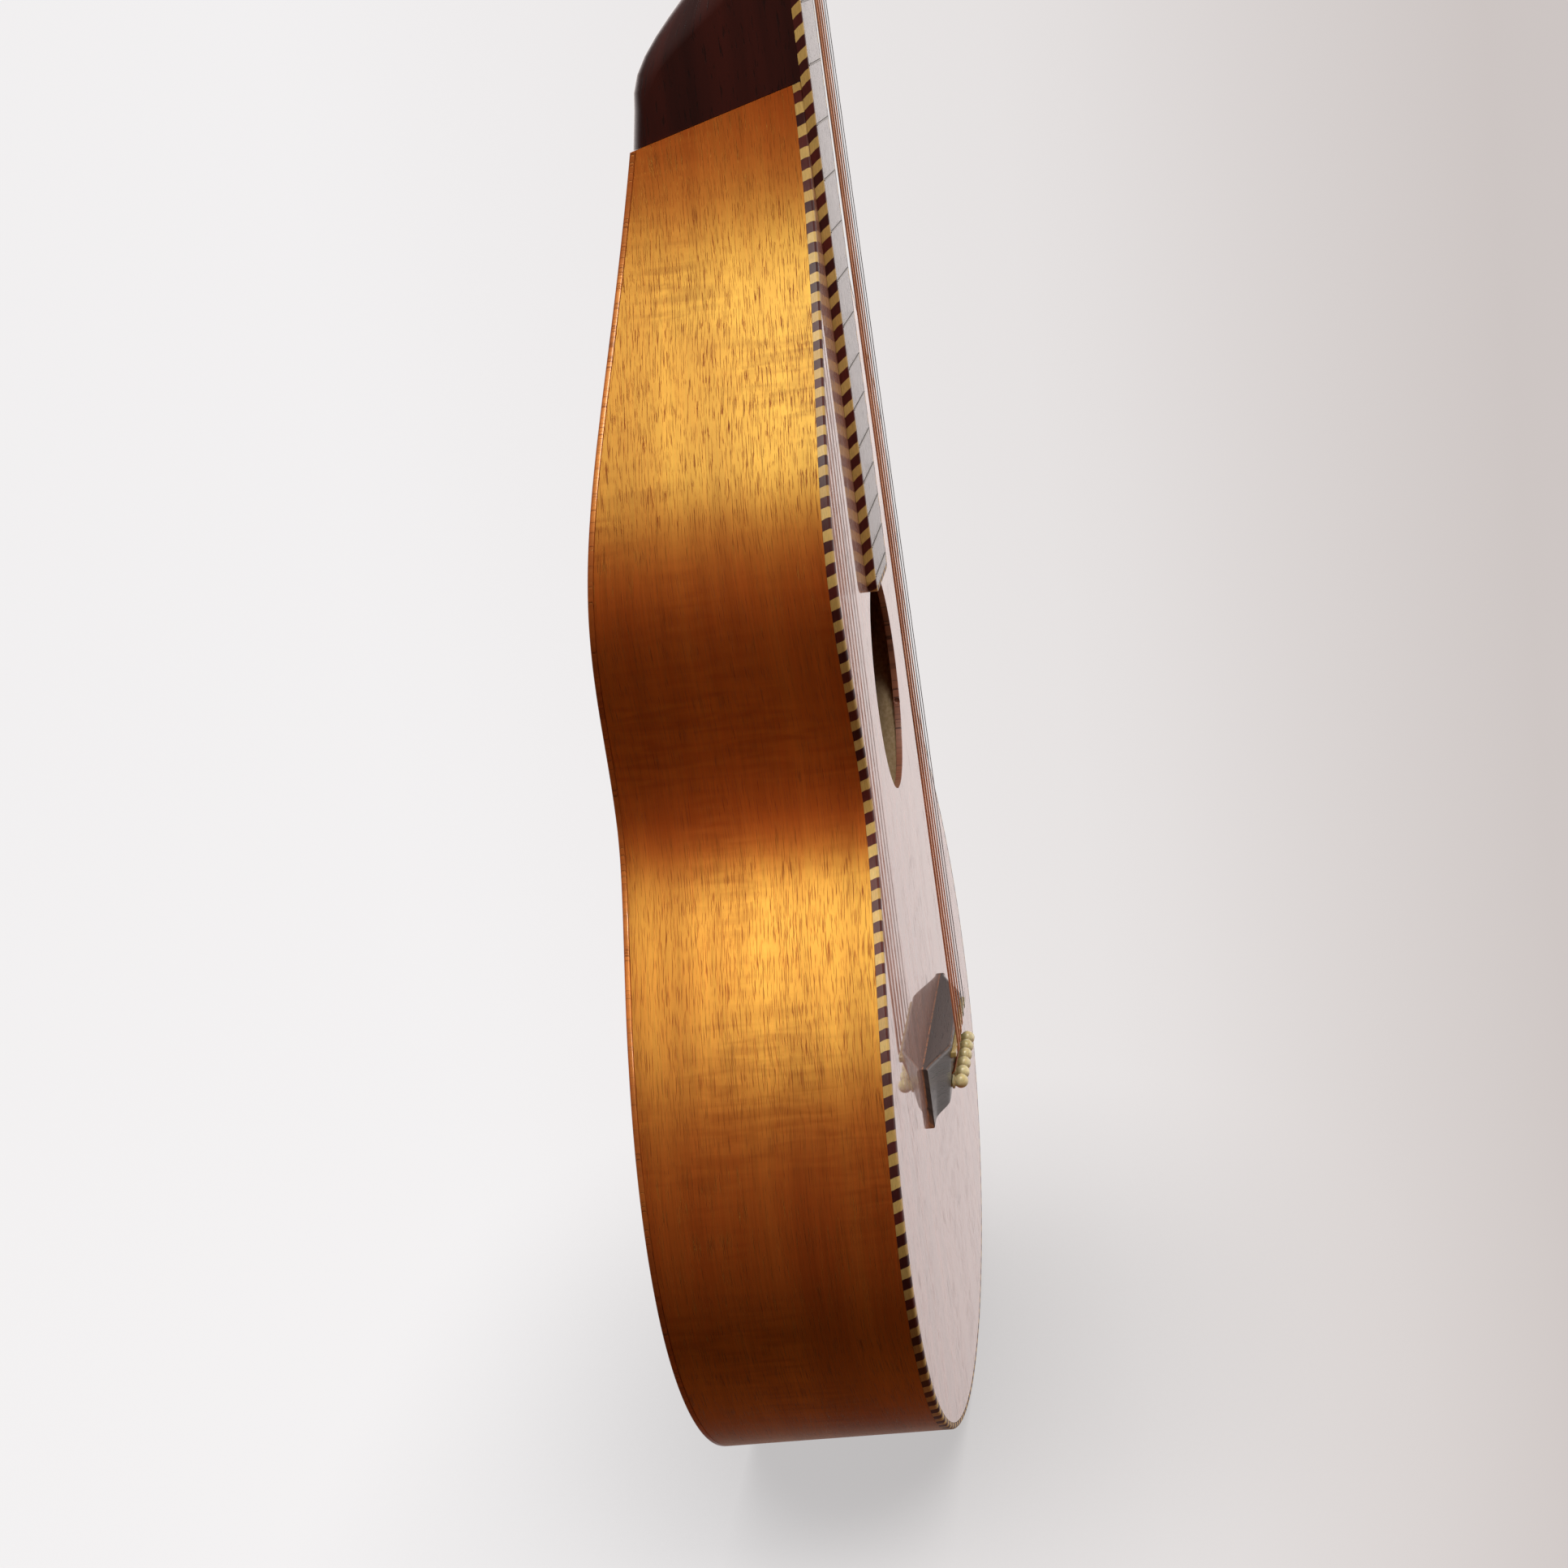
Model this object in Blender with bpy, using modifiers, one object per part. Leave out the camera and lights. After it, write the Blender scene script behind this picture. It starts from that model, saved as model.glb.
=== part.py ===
"""A deep-bodied Hawaiian guitar of koa, with rope binding, a raised nut and open-gear tuners.

It stands upright on its tail: +Z runs up the neck, +Y towards the back, +X to the treble side.
The origin is the middle of the tail. Heights over the soundboard are measured along -Y.
"""

import math

import bmesh
import bpy
from mathutils import Matrix, Vector

MM = 0.001
GAP = 0.3 * MM
CLEAR = 30 * MM

# Strings and scale
SCALE_LENGTH = 635 * MM
FRETS = 19
STRING_RADII = [r * MM for r in (0.19, 0.23, 0.33, 0.43, 0.53, 0.67)]
SADDLE_SPAN = 54.6 * MM
NUT_SPAN = 42 * MM

# Body outline, as half widths and heights up from the tail
TAIL_TO_SADDLE = 162 * MM
TAIL_FULLNESS = 108 * MM
LOWER_HALF, LOWER_Z, LOWER_BELOW, LOWER_ABOVE = 197 * MM, 131 * MM, 75 * MM, 82 * MM
WAIST_HALF, WAIST_Z, WAIST_BELOW, WAIST_ABOVE = 114 * MM, 302 * MM, 44 * MM, 30 * MM
UPPER_HALF, UPPER_Z, UPPER_BELOW, UPPER_ABOVE = 133 * MM, 388 * MM, 30 * MM, 62 * MM
SHOULDER_HALF, SHOULDER_REACH = 26 * MM, 95 * MM
OUTLINE_STEPS = 10
OUTLINE_SPARE = 6 * MM

# Body depth: level to the bend, then an arc up to the heel
BODY_END_TOP = 580 * MM
BODY_END_BACK = 561 * MM
FRONT_Y = -50 * MM
TAIL_DEPTH = 98 * MM
BEND_DEPTH, BEND_Z = 104.5 * MM, 221 * MM
BACK_RADIUS = 1400 * MM
BACK_STEPS = 8

# Plates, walls and binding
TOP_THICK = 2.8 * MM
BACK_THICK = 2.6 * MM
SIDE_WALL = 2.6 * MM
ROPE_DEPTH = 3.6 * MM
ROPE_ROUND = 1.3 * MM
SOUNDHOLE_RADIUS = 47 * MM
SOUNDHOLE_FROM_SADDLE = 161 * MM

# Inside the body
LINING_THICK = 6 * MM
LINING_HEIGHT = 14 * MM
TAIL_BLOCK_HALF, TAIL_BLOCK_THICK = 34 * MM, 20 * MM
NECK_BLOCK_START = 515 * MM
BRACE_WIDTH = 7 * MM
BRACE_HEIGHT = 13 * MM
BRACE_TIP = 4 * MM
X_CENTRE_Z = 246 * MM
X_UP, X_DOWN = 140 * MM, 205 * MM
TRANSVERSE_Z, TONE_BAR_Z = 404 * MM, 66 * MM
BACK_BRACE_Z = (62 * MM, 180 * MM, 318 * MM, 446 * MM)
BRIDGE_PLATE_HALF, BRIDGE_PLATE_THICK = 64 * MM, 2.4 * MM
STRIP_START = TOP_THICK + LINING_HEIGHT
PAST_BACK = BEND_DEPTH + CLEAR

# Fretboard, nut and neck
BOARD_THICK = 4 * MM
BOARD_END_FROM_SADDLE = 205 * MM
NUT_WIDTH, BOARD_END_WIDTH = 48.5 * MM, 56 * MM
BOARD_CORNER = 6 * MM
BOARD_EDGE = 2.4 * MM
FRET_SLOT_WIDTH, FRET_SLOT_DEPTH = 0.6 * MM, 1.6 * MM
NUT_THICK, NUT_HEIGHT = 6 * MM, 7.6 * MM
NECK_THICK_NUT, NECK_THICK_HEEL = 18.5 * MM, 21 * MM
HEEL_DEPTH = 70 * MM
HEEL_SWEEP = 78 * MM
HEEL_SLOPE = 0.17
HEEL_CORNER = 8 * MM
HEEL_SPARE = 12 * MM
NECK_SQUARENESS = 2.3
NECK_SIDES = 14

# Headstock, set back from the line of the neck
HEAD_TILT = math.radians(12)
HEAD_THICK = 16 * MM
HEAD_LENGTH = 158 * MM
HEAD_HALF_LOW, HEAD_HALF_HIGH = 29 * MM, 37 * MM
HEAD_START = 5 * MM
HEAD_CORNER, HEAD_FLARE = 4 * MM, 12 * MM
CROWN_DROP, CROWN_HALF = 16 * MM, 14 * MM
SCARF_LENGTH, SCARF_SLOPE = 12 * MM, 0.05
SCARF_SQUARENESS = 0.3

# Tuners: a worm on the key's shaft turns a gear on the string post
POST_X = 21 * MM
POST_FIRST, POST_TO_TIP = 40 * MM, 42 * MM
POST_RADIUS, POST_REACH = 3.1 * MM, 17 * MM
POST_HOLE_CLEARANCE = 0.4 * MM
POST_WAIST, POST_WAIST_START, POST_WAIST_END = 0.4 * MM, 5 * MM, 12 * MM
POST_EDGE = 0.6 * MM
HUB_RADIUS, GEAR_SCREW_RADIUS, GEAR_SCREW_HEAD = 4.1 * MM, 2.8 * MM, 1 * MM
PLATE_THICK, PLATE_HALF, PLATE_MARGIN = 1.2 * MM, 8.5 * MM, 15 * MM
GEAR_TEETH = 14
GEAR_PITCH_RADIUS = 6.2 * MM
GEAR_ADDENDUM, GEAR_DEDENDUM = 0.65 * MM, 0.95 * MM
GEAR_THICK = 3.4 * MM
WORM_PITCH_RADIUS = 2.75 * MM
WORM_TURNS = 2.75
WORM_STEPS = 8
SHAFT_RADIUS = 1.6 * MM
EAR_THICK, EAR_OFFSET = 1.6 * MM, 6.4 * MM
BUTTON_X = 27 * MM
BUTTON_LENGTH, BUTTON_WIDTH, BUTTON_THICK = 17 * MM, 14 * MM, 6.6 * MM
BUTTON_FULLNESS = 0.8
GEAR_COLLAR = 2.3 * MM
POST_STRING_HEIGHT, STRING_HOLE_RADIUS = -8.5 * MM, 0.9 * MM

# Bridge, saddle and pins
BRIDGE_HALF = 65 * MM
BRIDGE_FRONT, BRIDGE_TAIL = 6 * MM, -22.5 * MM
BRIDGE_WING = 2.4 * MM
BRIDGE_FRONT_HEIGHT, BRIDGE_FRONT_FULL = 10 * MM, 49 * MM
BRIDGE_TAIL_HEIGHT, BRIDGE_TAIL_FULL = 6.8 * MM, 34 * MM
SADDLE_HALF, SADDLE_THICK = 36 * MM, 3 * MM
SADDLE_TOP = 12.4 * MM
SADDLE_SLOT = 5 * MM
PIN_FROM_SADDLE = -15.5 * MM
PIN_BALL_RADIUS = 3.2 * MM
PIN_BALL_HEIGHT = 12.4 * MM
PIN_HOLE_RADIUS = 2.75 * MM
PIN_COLLAR, PIN_SHANK = 3.1 * MM, 2.3 * MM
PIN_TIP = 6.4 * MM
STRING_SLOT_RADIUS, STRING_SLOT_OFFSET = 1.25 * MM, 3.8 * MM
STRING_BREAK_HEIGHT = 9.2 * MM
BALL_END_RADIUS, BALL_END_DEPTH = 1.7 * MM, 7.2 * MM

SADDLE_Z = TAIL_TO_SADDLE
NUT_Z = SADDLE_Z + SCALE_LENGTH
HOLE_Z = SADDLE_Z + SOUNDHOLE_FROM_SADDLE
BOARD_END_Z = SADDLE_Z + BOARD_END_FROM_SADDLE
PIN_Z = SADDLE_Z + PIN_FROM_SADDLE
POST_PITCH = (HEAD_LENGTH - POST_FIRST - POST_TO_TIP) / 2
CENTRE_DISTANCE = GEAR_PITCH_RADIUS + WORM_PITCH_RADIUS
WORM_LEAD = 2 * math.pi * GEAR_PITCH_RADIUS / GEAR_TEETH

KOA = ((0.52, 0.24, 0.06), 0.3, 0)
ROPE = ((0.45, 0.26, 0.09), 0.4, 0)
MAHOGANY = ((0.13, 0.025, 0.012), 0.2, 0)
ROSEWOOD = ((0.07, 0.035, 0.025), 0.45, 0)
SPRUCE = ((0.72, 0.53, 0.31), 0.7, 0)
BONE = ((0.72, 0.58, 0.3), 0.35, 0)
NICKEL = ((0.66, 0.63, 0.57), 0.3, 1)
BRONZE = ((0.68, 0.33, 0.16), 0.35, 1)
STEEL = ((0.7, 0.7, 0.7), 0.25, 1)


def clear_scene():
    for obj in list(bpy.data.objects):
        bpy.data.objects.remove(obj, do_unlink=True)


def new_collection(name, hidden=False):
    collection = bpy.data.collections.new(name)
    collection.hide_render = hidden
    bpy.context.scene.collection.children.link(collection)
    return collection


def material(name, look):
    colour, roughness, metallic = look
    made = bpy.data.materials.new(name)
    made.use_nodes = True
    shader = made.node_tree.nodes["Principled BSDF"]
    shader.inputs["Base Color"].default_value = (*colour, 1)
    shader.inputs["Roughness"].default_value = roughness
    shader.inputs["Metallic"].default_value = metallic
    made.diffuse_color = (*colour, 1)
    return made


def add_object(name, bm, look=None):
    """A new object from a bmesh: a sub-part when it has a look, otherwise a cutter."""
    bmesh.ops.recalc_face_normals(bm, faces=bm.faces)
    mesh = bpy.data.meshes.new(name)
    bm.to_mesh(mesh)
    bm.free()
    obj = bpy.data.objects.new(name, mesh)
    finish_object(obj, look)
    return obj


def finish_object(obj, look):
    for collection in list(obj.users_collection):
        collection.objects.unlink(obj)
    if look is None:
        CUTTERS.objects.link(obj)
        obj.hide_render = True
        obj.display_type = "WIRE"
        return
    GUITAR.objects.link(obj)
    obj.data.materials.clear()
    obj.data.materials.append(material(obj.name, look))


def shade(obj, angle=35):
    obj.data.shade_smooth()
    obj.data.set_sharp_from_angle(angle=math.radians(angle))


def boolean(obj, cutter, operation="DIFFERENCE"):
    modifier = obj.modifiers.new(cutter.name, "BOOLEAN")
    modifier.object = cutter
    modifier.operation = operation
    modifier.solver = "EXACT"


def union_of(name, bodies, look):
    """One sub-part from overlapping bodies, which then stay behind as guides."""
    joined = bpy.data.objects.new(name, bodies[0].data.copy())
    joined.matrix_world = bodies[0].matrix_world.copy()
    finish_object(joined, look)
    for body in bodies[1:]:
        boolean(joined, body, "UNION")
    bpy.data.objects.remove(bodies[0], do_unlink=True)
    return joined


def extrude_faces(bm, offset):
    made = bmesh.ops.extrude_face_region(bm, geom=list(bm.faces))
    moved = [v for v in made["geom"] if isinstance(v, bmesh.types.BMVert)]
    bmesh.ops.translate(bm, vec=offset, verts=moved)


def prism(name, outline, start, end, look=None):
    """A flat outline of (x, z) points, carried along Y from one depth to another."""
    bm = bmesh.new()
    bm.faces.new([bm.verts.new((x, FRONT_Y + start, z)) for x, z in outline])
    extrude_faces(bm, (0, end - start, 0))
    return add_object(name, bm, look)


def profile_bar(name, outline, half, look=None):
    """A side profile of (depth, z) points, carried along X to both sides."""
    bm = bmesh.new()
    bm.faces.new([bm.verts.new((-half, FRONT_Y + depth, z)) for depth, z in outline])
    extrude_faces(bm, (2 * half, 0, 0))
    return add_object(name, bm, look)


def wall(name, outer, inner, start, end, look=None):
    """A strip between two lines of (x, z) points, carried along Y."""
    bm = bmesh.new()
    rows = [[bm.verts.new((x, FRONT_Y + start, z)) for x, z in line] for line in (outer, inner)]
    for i in range(len(outer) - 1):
        bm.faces.new((rows[0][i], rows[0][i + 1], rows[1][i + 1], rows[1][i]))
    extrude_faces(bm, (0, end - start, 0))
    return add_object(name, bm, look)


def loft(name, sections, look=None):
    """A closed skin through rings of points with equal counts, capped at both ends."""
    bm = bmesh.new()
    rings = [[bm.verts.new(point) for point in section] for section in sections]
    count = len(rings[0])
    for low, high in zip(rings, rings[1:]):
        for i in range(count):
            j = (i + 1) % count
            bm.faces.new((low[i], low[j], high[j], high[i]))
    bm.faces.new(rings[0])
    bm.faces.new(rings[-1])
    return add_object(name, bm, look)


def box(name, centre, size, look=None):
    bm = bmesh.new()
    bmesh.ops.create_cube(bm, size=1, matrix=Matrix.Diagonal((*size, 1)))
    obj = add_object(name, bm, look)
    obj.location = centre
    return obj


def rod_mesh(bm, radius, start, end, sides=16):
    """Adds a cylinder between two points to a bmesh."""
    start, end = Vector(start), Vector(end)
    turn = (end - start).to_track_quat("Z", "Y").to_matrix().to_4x4()
    place = Matrix.Translation((start + end) / 2) @ turn
    bmesh.ops.create_cone(bm, cap_ends=True, segments=sides, radius1=radius, radius2=radius,
                          depth=(end - start).length, matrix=place)


def rod(name, radius, start, end, look=None, sides=16):
    bm = bmesh.new()
    rod_mesh(bm, radius, start, end, sides)
    return add_object(name, bm, look)


def turned(name, profile, steps, look):
    """A profile of (radius, height) points turned about Z with a Screw modifier."""
    bm = bmesh.new()
    points = [bm.verts.new((radius, 0, height)) for radius, height in profile]
    for low, high in zip(points, points[1:]):
        bm.edges.new((low, high))
    mesh = bpy.data.meshes.new(name)
    bm.to_mesh(mesh)
    bm.free()
    obj = bpy.data.objects.new(name, mesh)
    screw = obj.modifiers.new("Turn", "SCREW")
    screw.steps = screw.render_steps = steps
    screw.use_merge_vertices = True
    screw.merge_threshold = 0.00001
    screw.use_smooth_shade = True
    finish_object(obj, look)
    return obj


def bezier(start, leave, arrive, end, steps):
    points = []
    for i in range(steps):
        t = i / steps
        weights = ((1 - t) ** 3, 3 * t * (1 - t) ** 2, 3 * t * t * (1 - t), t ** 3)
        pull = (start, leave, arrive, end)
        points.append(tuple(sum(w * p[k] for w, p in zip(weights, pull)) for k in (0, 1)))
    return points


def body_half():
    """The treble half of the body's outline, from the tail's middle to past the neck joint."""
    top = BODY_END_TOP + OUTLINE_SPARE
    tail = ((0, 0), (TAIL_FULLNESS, 0), (LOWER_HALF, LOWER_Z - LOWER_BELOW), (LOWER_HALF, LOWER_Z))
    lower = ((LOWER_HALF, LOWER_Z), (LOWER_HALF, LOWER_Z + LOWER_ABOVE),
             (WAIST_HALF, WAIST_Z - WAIST_BELOW), (WAIST_HALF, WAIST_Z))
    upper = ((WAIST_HALF, WAIST_Z), (WAIST_HALF, WAIST_Z + WAIST_ABOVE),
             (UPPER_HALF, UPPER_Z - UPPER_BELOW), (UPPER_HALF, UPPER_Z))
    shoulder = ((UPPER_HALF, UPPER_Z), (UPPER_HALF, UPPER_Z + UPPER_ABOVE),
                (SHOULDER_HALF, top - SHOULDER_REACH), (SHOULDER_HALF, top))
    points = []
    for segment in (tail, lower, upper, shoulder):
        points += bezier(*segment, OUTLINE_STEPS)
    return points + [(SHOULDER_HALF, top)]


def inset(points, distance):
    """The line of points moved inwards, square to its own direction."""
    moved = []
    for i, point in enumerate(points):
        before = Vector(points[max(i - 1, 0)])
        after = Vector(points[min(i + 1, len(points) - 1)])
        along = (after - before).normalized()
        if i == 0:
            along = Vector((1, 0))
        moved.append((point[0] - distance * along.y, point[1] + distance * along.x))
    return moved


def both_halves(half):
    """A closed outline from the treble half."""
    return half + [(-x, z) for x, z in reversed(half[1:])]


def half_width(z):
    """Half the body's width at a height above its widest bout's lower curve."""
    points = body_half()
    for (xa, za), (xb, zb) in zip(points, points[1:]):
        if za <= z <= zb:
            return xa + (xb - xa) * (z - za) / (zb - za)
    return points[-1][0]


def depth_at(z):
    """Depth of the back's outer face below the front of the soundboard."""
    rise = (BEND_DEPTH - TAIL_DEPTH) / BEND_Z
    past = max(z - BEND_Z, 0)
    return TAIL_DEPTH + rise * z - past * past / (2 * BACK_RADIUS)


def back_slope(z):
    step = 1 * MM
    return math.atan((depth_at(z + step) - depth_at(z - step)) / (2 * step))


def back_line(offset):
    """(depth, z) points along the back, moved towards the soundboard."""
    top = BODY_END_TOP + 2 * OUTLINE_SPARE
    heights = [-OUTLINE_SPARE, BEND_Z]
    heights += [BEND_Z + (top - BEND_Z) * (i + 1) / BACK_STEPS for i in range(BACK_STEPS)]
    return [(depth_at(z) - offset, z) for z in heights]


def layer(name, near, far):
    """A solid that follows the back, between two distances inside its outer face."""
    return profile_bar(name, back_line(near) + back_line(far)[::-1], LOWER_HALF + CLEAR)


def end_line(shift):
    """Two (depth, z) points on the slanting end of the body, moved along the neck."""
    lean = (BODY_END_TOP - BODY_END_BACK) / depth_at(BODY_END_BACK)
    deep = depth_at(BODY_END_BACK) + CLEAR
    return (-CLEAR, BODY_END_TOP + lean * CLEAR + shift), (deep, BODY_END_TOP - lean * deep + shift)


def end_cutter(name, shift, side=1):
    """All that lies past the body's slanting end, or short of it when the side is -1."""
    front, back = end_line(shift)
    far = side * (BODY_END_TOP - BODY_END_BACK + 2 * CLEAR)
    outline = [front, back, (back[0], back[1] + far), (front[0], front[1] + far)]
    return profile_bar(name, outline, SHOULDER_HALF + CLEAR)


def round_edges(obj, chosen, width, segments):
    bm = bmesh.new()
    bm.from_mesh(obj.data)
    edges = [edge for edge in bm.edges if all(chosen(v.co) for v in edge.verts)]
    bmesh.ops.bevel(bm, geom=edges, offset=width, segments=segments, profile=0.5, affect="EDGES")
    bm.to_mesh(obj.data)
    bm.free()


def smoothstep(value):
    t = min(max(value, 0), 1)
    return t * t * (3 - 2 * t)


def on_soundboard(x, height, z):
    """A point in the scene from its height over the soundboard."""
    return Vector((x, FRONT_Y - height, z))


def make_soundboard(end):
    line = inset(body_half(), SIDE_WALL + GAP)
    board = prism("soundboard", both_halves(line), 0, TOP_THICK, KOA)
    ends = [on_soundboard(0, height, HOLE_Z) for height in (CLEAR, -CLEAR)]
    hole = rod("soundhole", SOUNDHOLE_RADIUS, *ends, sides=48)
    boolean(board, hole)
    boolean(board, end)
    return board


def make_back(end):
    plate = prism("back", both_halves(body_half()), STRIP_START, PAST_BACK, KOA)
    boolean(plate, layer("back_layer", 0, BACK_THICK), "INTERSECT")
    boolean(plate, end)


def make_sides(end, behind):
    outer, inner = body_half(), inset(body_half(), SIDE_WALL)
    start = ROPE_DEPTH + GAP
    for name, side in (("side_bass", -1), ("side_treble", 1)):
        lines = [[(side * max(x, GAP / 2), z) for x, z in line] for line in (outer, inner)]
        piece = wall(name, *lines, start, PAST_BACK, KOA)
        boolean(piece, behind)
        boolean(piece, end)
        shade(piece)


def make_rope_binding(end):
    outer, inner = both_halves(body_half()), both_halves(inset(body_half(), SIDE_WALL))
    tail = len(body_half())
    lines = [line[tail:] + line[:tail] for line in (outer, inner)]
    ring = wall("rope_binding", *lines, 0, ROPE_DEPTH, ROPE)
    edge = {(round(x, 6), round(z, 6)) for x, z in outer}

    def on_outer_edge(co):
        return abs(co.y - FRONT_Y) < GAP / 2 and (round(co.x, 6), round(co.z, 6)) in edge

    round_edges(ring, on_outer_edge, ROPE_ROUND, 2)
    boolean(ring, end)
    shade(ring)


def between(points, other, chosen):
    kept = [(p, q) for p, q in zip(points, other) if chosen(p)]
    return [p for p, _ in kept], [q for _, q in kept]


def make_linings():
    """The strips that widen the glue seats of the soundboard and the back."""
    outer = inset(body_half(), SIDE_WALL + GAP)
    inner = inset(body_half(), SIDE_WALL + GAP + LINING_THICK)

    def clear_of_blocks(point):
        return point[0] > TAIL_BLOCK_HALF + GAP and point[1] < NECK_BLOCK_START - GAP

    treble = between(outer, inner, clear_of_blocks)
    top = TOP_THICK + GAP
    seat = BACK_THICK + GAP
    strip = layer("back_lining_layer", seat, seat + LINING_HEIGHT)
    for side, label in ((-1, "bass"), (1, "treble")):
        lines = [[(side * x, z) for x, z in line] for line in treble]
        shade(wall("top_lining_" + label, *lines, top, top + LINING_HEIGHT, SPRUCE))
        lower = wall("back_lining_" + label, *lines, STRIP_START, PAST_BACK, SPRUCE)
        boolean(lower, strip, "INTERSECT")
        shade(lower)


def make_blocks(behind):
    top = TOP_THICK + GAP
    outer = inset(body_half(), SIDE_WALL + GAP)
    inner = inset(body_half(), SIDE_WALL + GAP + TAIL_BLOCK_THICK)
    half = [(x, z) for x, z in outer if x < TAIL_BLOCK_HALF and z < LOWER_Z]
    level = inner[0][1]
    outline = half + [(half[-1][0], level)]
    outline += [(-x, z) for x, z in reversed(outline[1:])] + [(0, level)]
    tail = prism("tail_block", outline[:-1], top, PAST_BACK, MAHOGANY)
    boolean(tail, behind)
    neck = [(x, z) for x, z in outer if z > NECK_BLOCK_START]
    block = prism("neck_block", neck + [(-x, z) for x, z in reversed(neck)], top, PAST_BACK, MAHOGANY)
    boolean(block, behind)
    boolean(block, end_cutter("neck_block_end", -GAP))


def brace_outline(low, high, notch, notch_from_top):
    """A brace's side view of (along, drop) points, tapered to both tips, with a halving notch."""
    half = notch / 2 + GAP
    middle = BRACE_HEIGHT / 2
    top = [(low, 0), (high, 0)]
    under = [(high, BRACE_TIP), (high * 0.55, BRACE_HEIGHT), (low * 0.55, BRACE_HEIGHT), (low, BRACE_TIP)]
    if notch and notch_from_top:
        top[1:1] = [(-half, 0), (-half, middle + GAP / 2), (half, middle + GAP / 2), (half, 0)]
    if notch and not notch_from_top:
        floor = middle - GAP / 2
        under[2:2] = [(half, BRACE_HEIGHT), (half, floor), (-half, floor), (-half, BRACE_HEIGHT)]
    return top + under


def brace(name, outline, centre, turn, flip=False):
    """A brace on the soundboard's inner face, or standing up from the back when flipped."""
    bm = bmesh.new()
    sign = -1 if flip else 1
    face = [bm.verts.new((along, sign * drop, -BRACE_WIDTH / 2)) for along, drop in outline]
    bm.faces.new(face)
    extrude_faces(bm, (0, 0, BRACE_WIDTH))
    obj = add_object(name, bm, SPRUCE)
    obj.location = centre
    obj.rotation_euler = turn
    return obj


def make_braces():
    seat = FRONT_Y + TOP_THICK + GAP
    for name, lean, from_top in (("x_brace_bass_up", 45, True), ("x_brace_treble_up", 135, False)):
        outline = brace_outline(-X_UP, X_DOWN, BRACE_WIDTH, from_top)
        brace(name, outline, (0, seat, X_CENTRE_Z), (0, math.radians(lean), 0))
    reach = SIDE_WALL + LINING_THICK + 4 * GAP
    for name, z in (("transverse_brace", TRANSVERSE_Z), ("tone_bar", TONE_BAR_Z)):
        half = min(half_width(z - BRACE_WIDTH), half_width(z + BRACE_WIDTH)) - reach
        brace(name, brace_outline(-half, half, 0, False), (0, seat, z), (0, 0, 0))
    for number, z in enumerate(BACK_BRACE_Z, 1):
        half = min(half_width(z - BRACE_WIDTH), half_width(z + BRACE_WIDTH)) - reach
        centre = (0, FRONT_Y + depth_at(z) - BACK_THICK - 2 * GAP, z)
        outline = brace_outline(-half, half, 0, False)
        brace(f"back_brace_{number}", outline, centre, (-back_slope(z), 0, 0), True)


def board_half_width(z):
    share = (z - BOARD_END_Z) / (NUT_Z - BOARD_END_Z)
    return (BOARD_END_WIDTH + (NUT_WIDTH - BOARD_END_WIDTH) * share) / 2


def board_line(edge):
    """The fretboard's outline from its middle at the soundhole up to the nut, inset by an edge."""
    low, radius = BOARD_END_Z + edge, BOARD_CORNER - edge
    side = board_half_width(BOARD_END_Z) - edge
    corner = [(side - radius * (1 - math.sin(a)), low + radius * (1 - math.cos(a)))
              for a in (math.radians(18 * step) for step in range(6))]
    return [(0, low)] + corner + [(board_half_width(NUT_Z) - edge, NUT_Z)]


def make_fretboard():
    line = board_line(BOARD_EDGE + GAP)
    board = prism("fretboard", both_halves(line), -BOARD_THICK, -GAP, ROSEWOOD)
    bm = bmesh.new()
    for fret in range(1, FRETS + 1):
        z = SADDLE_Z + SCALE_LENGTH * 2 ** (-fret / 12)
        size = (BOARD_END_WIDTH, 2 * FRET_SLOT_DEPTH, FRET_SLOT_WIDTH, 1)
        place = Matrix.Translation(on_soundboard(0, BOARD_THICK, z)) @ Matrix.Diagonal(size)
        bmesh.ops.create_cube(bm, size=1, matrix=place)
    boolean(board, add_object("fret_slots", bm))
    outer, inner = both_halves(board_line(0)), both_halves(board_line(BOARD_EDGE))
    middle = len(board_line(0))
    lines = [line[middle:] + line[:middle] for line in (outer, inner)]
    shade(wall("fretboard_binding", *lines, -BOARD_THICK, -GAP, ROPE))


def make_nut():
    size = (NUT_WIDTH, NUT_HEIGHT - GAP, NUT_THICK)
    centre = on_soundboard(0, (NUT_HEIGHT + GAP) / 2, NUT_Z + GAP + NUT_THICK / 2)
    nut = box("nut", centre, size, BONE)
    round_edges(nut, lambda co: co.y < 0, 1.5 * MM, 2)


def neck_depth(z):
    """Depth of the neck below the fretboard's seat, swept out into the heel."""
    heel_z = BODY_END_TOP
    if z <= heel_z:
        return HEEL_DEPTH + HEEL_SLOPE * (heel_z - z)
    share = min((z - heel_z) / (NUT_Z - heel_z), 1)
    shaft = NECK_THICK_HEEL + (NECK_THICK_NUT - NECK_THICK_HEEL) * share
    return shaft + (HEEL_DEPTH - shaft) * (1 - smoothstep((z - heel_z) / HEEL_SWEEP))


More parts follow.
